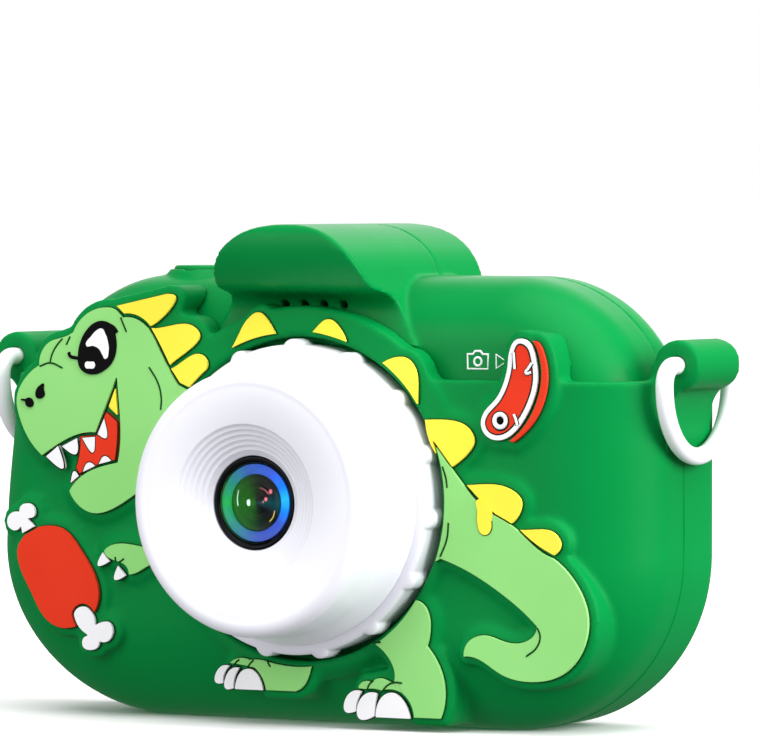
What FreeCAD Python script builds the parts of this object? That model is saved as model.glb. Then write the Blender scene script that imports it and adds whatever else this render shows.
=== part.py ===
import FreeCAD, Part
import math
import os
import re

from FreeCAD import Placement, Rotation, Vector

# A child's digital camera in a silicone sleeve with a raised dinosaur picture around the lens.
#
# Frame: millimetres, +Z up, lens along -Y, +X to the right for someone facing the lens.
# The origin is the middle of the flat underside of the sleeve.
#
# Outlines are drawn in the XZ plane, as (x, z) points seen from the front.

document = FreeCAD.newDocument("kids_camera")

# ---------------------------------------------------------------- driving dimensions

SIZES = {
    # hard camera body
    "body_half_width": 46.0,
    "body_low": 2.7,
    "body_high": 58.7,
    "body_corner": 20.0,
    "body_front": 12.2,
    "body_back": 9.2,
    "body_front_edge": 9.0,
    "body_back_edge": 5.5,
    "wall": 1.8,
    "seam": 1.5,
    # silicone sleeve
    "sleeve_wall": 2.7,
    "sleeve_front": 15.2,
    "sleeve_back": 10.0,
    "sleeve_high": 45.5,
    "sleeve_edge_width": 14.0,
    "sleeve_edge_depth": 10.0,
    "sleeve_low_edge": 5.7,
    "sleeve_back_edge": 4.2,
    "sleeve_gap": 0.1,
    "window_half_width": 40.5,
    "window_low": 8.2,
    "window_corner": 14.5,
    # raised picture
    "picture_back": 8.3,
    "picture_ground": 15.8,
    "picture_thick": 0.6,
    "picture_margin": 1.0,
    "groove": 0.26,
    "detail_thick": 0.2,
    "steak_rim_width": 0.75,
    "bone_radius": 1.15,
    "bone_x": 30.1,
    "bone_z": 40.4,
    "nostril_radius": 0.65,
    # lens
    "lens_centre": 29.67,
    "opening": 21.15,
    "collar_slope": 24.0,
    "arch": 25.2,
    "ring_radius": 20.2,
    "ring_front": 18.2,
    "ring_bore": 15.6,
    "nub_radius": 1.15,
    "nub_count": 15,
    "nub_long": 4.0,
    "nub_sunk": 0.45,
    "cap_base_radius": 18.9,
    "cap_radius": 17.4,
    "cap_shoulder": 21.6,
    "cap_front": 30.0,
    "cap_wall": 1.7,
    "cap_edge": 1.4,
    "cap_hole": 6.15,
    "dish_step": 0.68,
    "dish_step_count": 6,
    "dish_depth": 2.4,
    "bezel_radius": 6.05,
    "bezel_bore": 4.7,
    "bezel_long": 13.1,
    "bezel_ledge": 0.6,
    "glass_thick": 0.7,
    "module_bore": 6.8,
    "barrel_radius": 6.0,
    "barrel_long": 10.0,
    "module_board": 18.0,
    "module_board_thick": 1.2,
    # viewfinder hump
    "hump_back": 13.0,
    "recess_depth": 1.0,
    "selfie_height": 58.0,
    "selfie_width": 9.4,
    "selfie_tall": 6.5,
    "selfie_corner": 1.6,
    "selfie_pane_thick": 1.0,
    "selfie_lens_radius": 2.95,
    "selfie_module": 8.0,
    "selfie_module_front": 6.6,
    "selfie_module_deep": 4.4,
    "speaker_hole_radius": 0.6,
    "speaker_hole_pitch": 2.95,
    "speaker_hole_height": 55.0,
    "speaker_radius": 4.4,
    "speaker_front": 9.9,
    "speaker_thick": 2.6,
    # screen
    "screen_x": 8.9,
    "screen_z": 30.9,
    "screen_width": 40.64,
    "screen_tall": 30.48,
    "ridge_width": 47.2,
    "ridge_tall": 37.4,
    "ridge_rise": 0.7,
    "ridge_corner": 2.6,
    "screen_gap": 0.3,
    "screen_front": 6.9,
    "screen_thick": 1.2,
    "lcd_width": 46.0,
    "lcd_tall": 36.0,
    "lcd_front": 4.4,
    "lcd_thick": 2.4,
    # controls
    "key_travel": 0.5,
    "key_rise": 0.8,
    "key_gap": 0.25,
    "key_flange": 0.8,
    "key_flange_thick": 1.4,
    "key_sunk": 1.5,
    "key_play": 0.1,
    "stem_radius": 1.2,
    "petal_flange": 0.9,
    "power_x": -27.0,
    "power_z": 47.15,
    "power_radius": 4.6,
    "mode_x": -29.6,
    "mode_z": 14.7,
    "mode_radius": 3.9,
    "pad_x": -29.9,
    "pad_z": 29.9,
    "pad_radius": 7.7,
    "pad_inner": 4.75,
    "pad_rib": 0.9,
    "ok_radius": 3.7,
    "shutter_x": -23.0,
    "shutter_y": -0.5,
    "shutter_radius": 4.7,
    "shutter_high": 59.9,
    "shutter_stem_low": 54.2,
    "shutter_stem_radius": 1.5,
    "microphone_x": -25.2,
    "microphone_z": 38.3,
    "microphone_radius": 2.0,
    "microphone_hole_radius": 0.5,
    # electronics
    "board_left": -38.8,
    "board_low": 10.5,
    "board_width": 73.8,
    "board_tall": 40.5,
    "board_front": 2.2,
    "board_thick": 1.2,
    "switch_tall": 1.5,
    "switch_width": 3.0,
    "shutter_switch_low": 50.1,
    "shutter_switch_width": 6.0,
    "shutter_switch_front": 2.6,
    "shutter_switch_tall": 3.2,
    "battery_left": 9.8,
    "battery_low": 13.0,
    "battery_width": 24.6,
    "battery_tall": 28.0,
    "battery_front": 5.8,
    "battery_thick": 5.2,
    "port_x": 12.0,
    "port_low": 3.1,
    "port_width": 8.9,
    "port_thick": 3.2,
    "port_deep": 7.3,
    "port_skin": 0.35,
    "tongue_width": 6.6,
    "tongue_thick": 0.7,
    "card_x": -12.0,
    "card_low": 3.0,
    "card_width": 11.0,
    "card_long": 15.0,
    "card_thick": 0.7,
    "cage_low": 4.6,
    "cage_width": 13.2,
    "cage_thick": 1.7,
    "cage_long": 14.4,
    "cage_skin": 0.45,
    # strap rings
    "lug_x": 50.2,
    "lug_z": 47.5,
    "lug_front": 6.4,
    "lug_back": 5.4,
    "lug_radius": 3.3,
    "lug_strap": 4.0,
    "ring_wire": 1.15,
    "ring_bore_gap": 0.08,
    "ring_long": 20.6,
    "ring_drop": 12.9,
    "ring_corner": 2.5,
    # screws
    "screw_x": 38.3,
    "screw_low": 17.0,
    "screw_high": 42.5,
    "screw_radius": 1.1,
    "screw_head": 2.1,
    "screw_head_front": 6.4,
    "screw_head_thick": 1.9,
    "screw_end": 5.2,
    "screw_cross": 1.4,
    "screw_cross_width": 0.6,
    "post_radius": 3.1,
    "tube_start": 2.6,
}

sheet = document.addObject("Spreadsheet::Sheet", "Dimensions")
for row, (alias, number) in enumerate(SIZES.items(), start=1):
    sheet.set(f"A{row}", alias)
    sheet.set(f"B{row}", str(number))
    sheet.setAlias(f"B{row}", alias)
document.recompute()


def size(alias):
    """The number in the sheet cell called alias."""
    return float(sheet.get(alias))


def bind(item, prop, text):
    """Bind one property to a formula written with the sheet's aliases."""
    item.setExpression(prop, re.sub(r"[a-z][a-z_]+", lambda word: "Dimensions." + word.group(), text))


def bind_place(item, x, y, z):
    """Bind an object's position to three formulas."""
    for axis, text in zip("xyz", (x, y, z)):
        bind(item, f"Placement.Base.{axis}", text)


# ---------------------------------------------------------------- building blocks

ALONG_Y = Rotation(Vector(1, 0, 0), -90)
FACING_FRONT = Rotation(Vector(1, 0, 0), 90)


def block(name, x, y, z, width, depth, height):
    """A box with its low corner at x, y, z. Every argument is a formula."""
    item = document.addObject("Part::Box", name)
    bind(item, "Length", width)
    bind(item, "Width", depth)
    bind(item, "Height", height)
    bind_place(item, x, y, z)
    return item


def rod_along_y(name, radius, x, y, z, length):
    """A cylinder from y towards +Y."""
    item = document.addObject("Part::Cylinder", name)
    item.Placement = Placement(Vector(), ALONG_Y)
    bind(item, "Radius", radius)
    bind(item, "Height", length)
    bind_place(item, x, y, z)
    return item


def rod_along_z(name, radius, x, y, z, length):
    """A cylinder from z upwards."""
    item = document.addObject("Part::Cylinder", name)
    bind(item, "Radius", radius)
    bind(item, "Height", length)
    bind_place(item, x, y, z)
    return item


def cone_along_y(name, first, last, x, y, z, length):
    """A truncated cone from radius first at y to radius last further along +Y."""
    item = document.addObject("Part::Cone", name)
    item.Placement = Placement(Vector(), ALONG_Y)
    bind(item, "Radius1", first)
    bind(item, "Radius2", last)
    bind(item, "Height", length)
    bind_place(item, x, y, z)
    return item


def join(name, items):
    """The union of several objects."""
    item = document.addObject("Part::MultiFuse", name)
    item.Shapes = items
    item.Refine = True
    return item


def cut(name, base, tools):
    """base with every tool taken away."""
    if len(tools) > 1:
        tool = join(name + "_tools", tools)
    else:
        tool = tools[0]
    item = document.addObject("Part::Cut", name)
    item.Base = base
    item.Tool = tool
    item.Refine = True
    return item


def overlap(name, first, second):
    """What two objects have in common."""
    item = document.addObject("Part::Common", name)
    item.Base = first
    item.Tool = second
    return item


def group(name, items):
    """Several separate solids kept together as one sub-part."""
    item = document.addObject("Part::Compound", name)
    item.Links = items
    return item


def curve(points):
    """A straight line through two (x, z) points, or a smooth curve through more."""
    vectors = [Vector(x, z, 0) for x, z in points]
    if len(vectors) == 2:
        return Part.LineSegment(*vectors)
    spline = Part.BSplineCurve()
    spline.interpolate(vectors)
    return spline


def closed_curve(points):
    """One smooth closed curve through the (x, z) points."""
    spline = Part.BSplineCurve()
    spline.interpolate([Vector(x, z, 0) for x, z in points], PeriodicFlag=True)
    return spline


def sketch(name, curves, y):
    """A sketch in the XZ plane at the y that a formula gives."""
    item = document.addObject("Sketcher::SketchObject", name)
    item.Placement = Placement(Vector(), FACING_FRONT)
    bind(item, "Placement.Base.y", y)
    item.addGeometry(curves, False)
    return item


def outline(start, *stretches):
    """Curves joined end to end: each stretch goes on from the last point before it."""
    curves = []
    corner = start
    for stretch in stretches:
        curves.append(curve([corner, *stretch]))
        corner = stretch[-1]
    return curves


def widen(name, source, distance, y):
    """The outline of a sketch moved outwards by a distance, or inwards if negative, as plain splines at y."""
    document.recompute()
    moved = source.Shape.makeOffset2D(distance, join=0)
    item = document.addObject("Part::Feature", name)
    item.Shape = moved.toNurbs()
    item.Placement = Placement(Vector(0, y - source.Placement.Base.y, 0), Rotation())
    return item


def prism(name, source, length, towards_front=True):
    """A sketch or outline pushed along Y by a formula's length."""
    item = document.addObject("Part::Extrusion", name)
    item.Base = source
    item.DirMode = "Custom"
    item.Dir = Vector(0, -1 if towards_front else 1, 0)
    item.Solid = True
    bind(item, "LengthFwd", length)
    return item


def rounded_rectangle(x0, x1, z0, z1, radius):
    """A rectangle with four equal round corners."""
    sides = []
    centres = [(x1 - radius, z0 + radius), (x1 - radius, z1 - radius),
               (x0 + radius, z1 - radius), (x0 + radius, z0 + radius)]
    ends = []
    for quarter, (x, z) in enumerate(centres):
        first = math.radians(90 * quarter - 90)
        last = first + math.pi / 2
        circle = Part.Circle(Vector(x, z, 0), Vector(0, 0, 1), radius)
        arc = Part.ArcOfCircle(circle, first, last)
        sides.append(arc)
        ends.append((arc.StartPoint, arc.EndPoint))
    for index in range(4):
        sides.append(Part.LineSegment(ends[index][1], ends[(index + 1) % 4][0]))
    return sides


def round_edges(name, base, choose, radius):
    """base with every edge that choose(edge) picks rounded to a formula's radius."""
    document.recompute()
    item = document.addObject("Part::Fillet", name)
    item.Base = base
    number = size(radius)
    item.Edges = [(index, number, number) for index, edge in enumerate(base.Shape.Edges, start=1)
                  if choose(edge)]
    return item


def lies_at_y(y):
    """A test for edges that lie in the plane of that y."""
    def test(edge):
        return abs(edge.BoundBox.YMin - y) < 0.01 and abs(edge.BoundBox.YMax - y) < 0.01
    return test


# ---------------------------------------------------------------- hard body

# The case screws, as formulas for x and z.
SCREW_PLACES = [(f"{side} * screw_x", height) for height in ("screw_low", "screw_high") for side in (-1, 1)]


def body_outline(inset):
    """The body's rounded outline, made smaller by inset."""
    half = size("body_half_width") - inset
    low = size("body_low") + inset
    high = size("body_high") - inset
    return rounded_rectangle(-half, half, low, high, size("body_corner") - inset)


def body_block(name, inset):
    """The body's pillow shape, made smaller all round by inset."""
    face = sketch(name + "_sketch", body_outline(inset), f"body_back - {inset}")
    plate = prism(name + "_plate", face, f"body_front + body_back - 2 * {inset}")
    document.recompute()
    rounded = document.addObject("Part::Fillet", name)
    rounded.Base = plate
    ends = ((size("body_back") - inset, size("body_back_edge") - inset),
            (inset - size("body_front"), size("body_front_edge") - inset))
    rounded.Edges = [(index, radius, radius) for index, edge in enumerate(plate.Shape.Edges, start=1)
                     for y, radius in ends if lies_at_y(y)(edge)]
    return rounded


def hump_block():
    """The viewfinder hump: a flared arch seen from the front, and a hood seen from the side."""
    right = [(15.9, 49.6), (14.3, 52.0), (12.8, 55.0), (11.5, 58.0), (10.8, 60.0), (9.1, 62.4), (5.7, 64.6),
             (0.0, 65.5)]
    left = [(-x, z) for x, z in reversed(right[:-1])]
    arch = outline(right[0], right[1:] + left, [right[0]])
    front_view = prism("hump_front_view", sketch("hump_arch", arch, "hump_back"), "35")
    # The side view is drawn as (y, z) points and pushed along X.
    side = outline((-8.0, 49.6), [(-13.0, 49.6)], [(-12.5, 51.4), (-12.1, 53.4), (-12.2, 55.2), (-13.9, 56.4),
                   (-17.6, 57.4), (-19.6, 59.6), (-20.6, 63.0), (-20.3, 64.8), (-18.5, 65.6)], [(11.0, 65.6)],
                   [(12.5, 65.0), (13.0, 63.5)], [(13.0, 49.6)], [(-8.0, 49.6)])
    profile = document.addObject("Sketcher::SketchObject", "hump_profile")
    profile.Placement = Placement(Vector(-20, 0, 0), Rotation(Vector(1, 1, 1), 120))
    profile.addGeometry(side, False)
    side_view = document.addObject("Part::Extrusion", "hump_side_view")
    side_view.Base = profile
    side_view.DirMode = "Custom"
    side_view.Dir = Vector(1, 0, 0)
    side_view.Solid = True
    side_view.LengthFwd = 40
    return overlap("hump", front_view, side_view)


def build_shells():
    """Front and rear shells, split at the seam, with everything cut into them; gives back the hump."""
    outer = body_block("outer_body", 0.0)
    inner = body_block("inner_body", size("wall"))
    hump = hump_block()
    upper_room = block("hump_room", "-7.5", "-10", "50.5", "15", "hump_back - wall + 10", "11")
    hood_room = block("hood_room", "-6.2", "-17.6", "59.6", "12.4", "9", "3")
    ridge = prism("screen_ridge", sketch("ridge_sketch", rounded_rectangle(
        size("screen_x") - size("ridge_width") / 2, size("screen_x") + size("ridge_width") / 2,
        size("screen_z") - size("ridge_tall") / 2, size("screen_z") + size("ridge_tall") / 2,
        size("ridge_corner")),
        "body_back + ridge_rise"), "ridge_rise + 0.5")
    bosses = [cone_along_y(f"{name}_boss", f"{radius} + 1.9", f"{radius} + 1.1", x, "body_back - 0.2", z,
                           "0.9")
              for name, x, z, radius in (("power", "power_x", "power_z", "power_radius"),
                                         ("pad", "pad_x", "pad_z", "pad_radius"),
                                         ("mode", "mode_x", "mode_z", "mode_radius"))]
    shutter_boss = document.addObject("Part::Cone", "shutter_boss")
    bind(shutter_boss, "Radius1", "shutter_radius + 1.2")
    bind(shutter_boss, "Radius2", "shutter_radius + 0.5")
    bind(shutter_boss, "Height", "1")
    bind_place(shutter_boss, "shutter_x", "shutter_y", "body_high - 0.3")
    solid = join("body_solid", [outer, hump, ridge, shutter_boss, *bosses])
    hollow = cut("body_hollow", solid, [inner, upper_room, hood_room])

    # Two blocks, larger than the body, cover what lies in front of the seam and behind it.
    front_half = block("front_half", "-60", "-60", "-10", "120", "60 + seam", "90")
    rear_half = block("rear_half", "-60", "seam", "-10", "120", "60", "90")

    tubes = []
    tube_holes = []
    rear_posts = []
    rear_holes = []
    for index, (x, height) in enumerate(SCREW_PLACES):
        tubes.append(rod_along_y(f"tube_{index}", "post_radius", x, "tube_start - body_front", height,
                                 "body_front - tube_start"))
        tube_holes.append(rod_along_y(f"tube_hole_{index}", "screw_radius + 0.2", x, "-body_front", height,
                                      "body_front + 0.2"))
        tube_holes.append(rod_along_y(f"head_hole_{index}", "screw_head + 0.2", x, "-body_front - 1", height,
                                      "body_front + 1.1 - screw_head_front + screw_head_thick"))
        rear_posts.append(rod_along_y(f"post_{index}", "post_radius", x, "0.1", height, "body_back - 1"))
        rear_holes.append(rod_along_y(f"post_hole_{index}", "screw_radius", x, "0", height, "6"))

    front = join("front_with_tubes", [overlap("front_raw", hollow, front_half), *tubes])
    speaker_holes = [rod_along_y(f"speaker_hole_{index}", "speaker_hole_radius",
                                 f"speaker_hole_pitch * {index - 1.5}", "-16", "speaker_hole_height", "7")
                     for index in range(4)]
    shutter_hole = rod_along_z("shutter_hole", "shutter_radius + key_gap", "shutter_x", "shutter_y", "52",
                               "10")
    shutter_room = rod_along_z("shutter_room", "shutter_radius + key_flange + 0.3", "shutter_x", "shutter_y",
                               "52", "body_high - wall - 52")
    camera_hole = rod_along_y("camera_hole", "module_bore", "0", "-body_front - 1", "lens_centre", "5")
    ring_room = rod_along_y("ring_room", "ring_radius + 0.15", "0", "-30", "lens_centre", "30 - body_front")
    port_hole = block("port_hole", "port_x - port_width / 2 - 0.35", "board_front - port_thick - 0.3", "0",
                      "port_width + 0.7", "port_thick + 0.6", "6")
    card_hole = block("card_hole", "card_x - card_width / 2 - 0.5", "board_front - cage_thick", "0",
                      "card_width + 1", "cage_thick - 0.1", "6")
    across_seam = [shutter_hole, shutter_room, port_hole, card_hole]
    cut("front_shell", front, [*tube_holes, *speaker_holes, camera_hole, ring_room, *across_seam])

    rear = join("rear_with_posts", [overlap("rear_raw", hollow, rear_half), *rear_posts])
    screen_hole = block("screen_hole", "screen_x - screen_width / 2 - screen_gap", "4",
                        "screen_z - screen_tall / 2 - screen_gap",
                        "screen_width + 2 * screen_gap", "10", "screen_tall + 2 * screen_gap")
    recess = prism("recess", sketch("recess_sketch", recess_outline(), "hump_back + 1"), "recess_depth + 1")
    selfie_hole = prism("selfie_hole", sketch("selfie_hole_sketch", selfie_outline(0.1), "hump_back + 1"),
                        "5")
    key_holes = [rod_along_y("power_hole", "power_radius + key_gap", "power_x", "5", "power_z", "9"),
                 rod_along_y("mode_hole", "mode_radius + key_gap", "mode_x", "5", "mode_z", "9"),
                 rod_along_y("ok_hole", "ok_radius + key_gap", "pad_x", "5", "pad_z", "9")]
    petal_holes = [prism(f"petal_hole_{index}", sketch(f"petal_hole_sketch_{index}",
                         petal_outline(index, size("key_gap")), "5"), "9", towards_front=False)
                   for index in range(4)]
    microphone_hole = rod_along_y("microphone_hole", "microphone_hole_radius", "microphone_x", "5",
                                  "microphone_z", "6")
    cut("rear_shell", rear, [*rear_holes, screen_hole, recess, selfie_hole, *key_holes, *petal_holes,
                             microphone_hole, *across_seam])
    return hump


def recess_outline():
    """The arch-shaped recess in the back of the hump."""
    return outline((-9.6, 53.4), [(-8.6, 52.7)], [(8.6, 52.7)], [(9.6, 53.4)],
                   [(9.3, 56.5), (7.4, 60.6), (4.2, 62.9), (0.0, 63.6), (-4.2, 62.9), (-7.4, 60.6),
                    (-9.3, 56.5), (-9.6, 53.4)])


def selfie_outline(grow):
    """The rounded window in front of the rear-facing camera."""
    half = size("selfie_width") / 2 + grow
    tall = size("selfie_tall") / 2 + grow
    middle = size("selfie_height")
    return rounded_rectangle(-half, half, middle - tall, middle + tall, size("selfie_corner"))


# ---------------------------------------------------------------- keys

def petal_outline(index, grow, reach=0.0):
    """One of the pad's four petals: a ring sector between two straight ribs, grown by grow."""
    outer = size("pad_radius") + grow + reach
    inner = size("pad_inner") - grow
    rib = size("pad_rib") - grow
    turn = math.radians(90 * index)
    centre = Vector(size("pad_x"), size("pad_z"), 0)

    def place(radius, side):
        """The point at that radius where the petal meets a diagonal rib."""
        angle = turn + side * (math.pi / 4 - math.asin(rib / radius))
        return centre + Vector(radius * math.cos(angle), radius * math.sin(angle), 0)

    def arc(radius, first, last):
        middle = centre + Vector(radius * math.cos(turn), radius * math.sin(turn), 0)
        return Part.Arc(place(radius, first), middle, place(radius, last))

    return [arc(outer, -1, 1), Part.LineSegment(place(outer, 1), place(inner, 1)),
            arc(inner, 1, -1), Part.LineSegment(place(inner, -1), place(outer, -1))]


def petal_middle(index):
    """The middle of a petal, as formulas for x and z: where its stem and switch are."""
    turn = math.radians(90 * index)
    reach = 0.5 * (size("pad_radius") + size("pad_inner"))
    return f"pad_x + {reach * math.cos(turn):.3f}", f"pad_z + {reach * math.sin(turn):.3f}"


# Where keys begin, behind the rear wall, and where the switches under them end, both along Y.
KEY_BACK = "body_back - wall - key_sunk"
SWITCH_TOP = "board_front + board_thick + switch_tall"


def round_key(name, radius, x, z):
    """A round button: cap, flange behind the shell wall, and a stem above its switch."""
    cap = rod_along_y(name + "_cap", radius, x, KEY_BACK, z, f"body_back + key_rise - ({KEY_BACK})")
    flange = rod_along_y(name + "_flange", f"{radius} + key_flange", x, KEY_BACK, z, "key_flange_thick")
    stem = key_stem(name, x, z)
    top = size("body_back") + size("key_rise")
    crowned = round_edges(name + "_crowned", cap, lies_at_y(top), "key_travel")
    return join(name, [crowned, flange, stem])


def key_stem(name, x, z):
    """The stem under a key, one travel and a little play above the switch."""
    start = f"{SWITCH_TOP} + key_travel + key_play"
    return rod_along_y(name + "_stem", "stem_radius", x, start, z, f"{KEY_BACK} + 0.5 - ({start})")


def build_keys():
    """Power and mode buttons, the four-way pad with its middle button, and the shutter."""
    round_key("power_button", "power_radius", "power_x", "power_z")
    round_key("mode_button", "mode_radius", "mode_x", "mode_z")
    middle = rod_along_y("ok_cap", "ok_radius", "pad_x", KEY_BACK, "pad_z",
                         f"body_back + key_rise - ({KEY_BACK})")
    join("ok_button", [middle, key_stem("ok", "pad_x", "pad_z")])
    for index, name in enumerate(("dpad_right", "dpad_up", "dpad_left", "dpad_down")):
        petal = prism(name + "_cap", sketch(name + "_sketch", petal_outline(index, 0.0), KEY_BACK),
                      f"body_back + key_rise - ({KEY_BACK})", towards_front=False)
        flange = prism(name + "_flange", sketch(name + "_flange_sketch",
                       petal_outline(index, 0.0, reach=size("petal_flange")), KEY_BACK),
                       "key_flange_thick", towards_front=False)
        join(name, [petal, flange, key_stem(name, *petal_middle(index))])

    low = "body_high - wall - key_sunk"
    cap = rod_along_z("shutter_cap", "shutter_radius", "shutter_x", "shutter_y", low,
                      f"shutter_high - ({low})")
    flange = rod_along_z("shutter_flange", "shutter_radius + key_flange", "shutter_x", "shutter_y", low,
                         "key_flange_thick")
    stem = rod_along_z("shutter_stem", "shutter_stem_radius", "shutter_x", "shutter_y", "shutter_stem_low",
                       f"{low} + 0.5 - shutter_stem_low")

    def at_top(edge):
        return abs(edge.BoundBox.ZMin - size("shutter_high")) < 0.01
    crowned = round_edges("shutter_crowned", cap, at_top, "key_travel")
    join("shutter_button", [crowned, flange, stem])


# ---------------------------------------------------------------- lens

def build_lens():
    """Ribbed ring, cap with a stepped dish in its face, black bezel, glass and the camera behind them."""
    centre = "lens_centre"
    ring = rod_along_y("ring_tube", "ring_radius", "0", "-ring_front", centre, "ring_front - body_front")
    ring_bore = rod_along_y("ring_tube_bore", "ring_bore", "0", "-ring_front - 1", centre, "ring_front - 4")
    nubs = []
    for index in range(int(size("nub_count"))):
        angle = math.radians(90 + 360 * index / size("nub_count"))
        reach = size("ring_radius") - size("nub_sunk")
        nubs.append(rod_along_y(f"nub_{index}", "nub_radius", f"{reach * math.cos(angle):.3f}",
                                "-ring_front", f"lens_centre + {reach * math.sin(angle):.3f}", "nub_long"))
    cut("lens_ring", join("ring_with_nubs", [ring, *nubs]), [ring_bore])

    foot = cone_along_y("cap_foot", "cap_radius", "cap_base_radius", "0", "-cap_shoulder", centre,
                        "cap_shoulder - ring_front")
    drum = rod_along_y("cap_drum", "cap_radius", "0", "-cap_front", centre, "cap_front - cap_shoulder")
    crowned = round_edges("cap_crowned", drum, lies_at_y(-size("cap_front")), "cap_edge")
    bore = rod_along_y("cap_bore", "cap_radius - cap_wall", "0", "-cap_front + cap_wall", centre, "cap_front")
    dish_back = rod_along_y("cap_dish_back", "cap_hole + dish_step * dish_step_count + cap_wall", "0",
                            "-cap_front + cap_wall", centre, "dish_depth")
    eye = rod_along_y("cap_eye", "cap_hole", "0", "-cap_front - 1", centre, "10")
    # The dish is a flight of round steps: each is narrower and deeper than the one before.
    count = int(size("dish_step_count"))
    steps = [rod_along_y(f"dish_step_{index}", f"cap_hole + dish_step * {count - index}", "0",
                         "-cap_front - 1", centre, f"1 + dish_depth * {index + 1} / {count}")
             for index in range(count)]
    hollow_drum = cut("cap_hollow", join("cap_solid", [foot, crowned]), [bore])
    cut("lens_cap", join("cap_with_dish", [hollow_drum, dish_back]), [eye, *steps])

    front = "-cap_front + dish_depth"
    bezel = rod_along_y("bezel_tube", "bezel_radius", "0", f"{front} + 0.2", centre, "bezel_long")
    bezel_bore = rod_along_y("bezel_bore_tool", "bezel_bore", "0", f"{front} - 1", centre, "20")
    seat = rod_along_y("bezel_seat", "bezel_bore + bezel_ledge", "0", f"{front} - 1", centre,
                       "1.5 + glass_thick")
    cut("lens_bezel", bezel, [bezel_bore, seat])
    glass = rod_along_y("glass_disc", "bezel_bore + bezel_ledge - 0.05", "0", f"{front} + 0.5", centre,
                        "glass_thick")
    group("lens_glass", [glass])

    barrel = rod_along_y("module_barrel", "barrel_radius", "0", "-4 - barrel_long", centre, "barrel_long")
    sensor_board = block("module_board_plate", "-module_board / 2", "-4", "lens_centre - module_board / 2",
                         "module_board", "module_board_thick", "module_board")
    join("front_camera_module", [barrel, sensor_board])


# ---------------------------------------------------------------- raised picture

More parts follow.
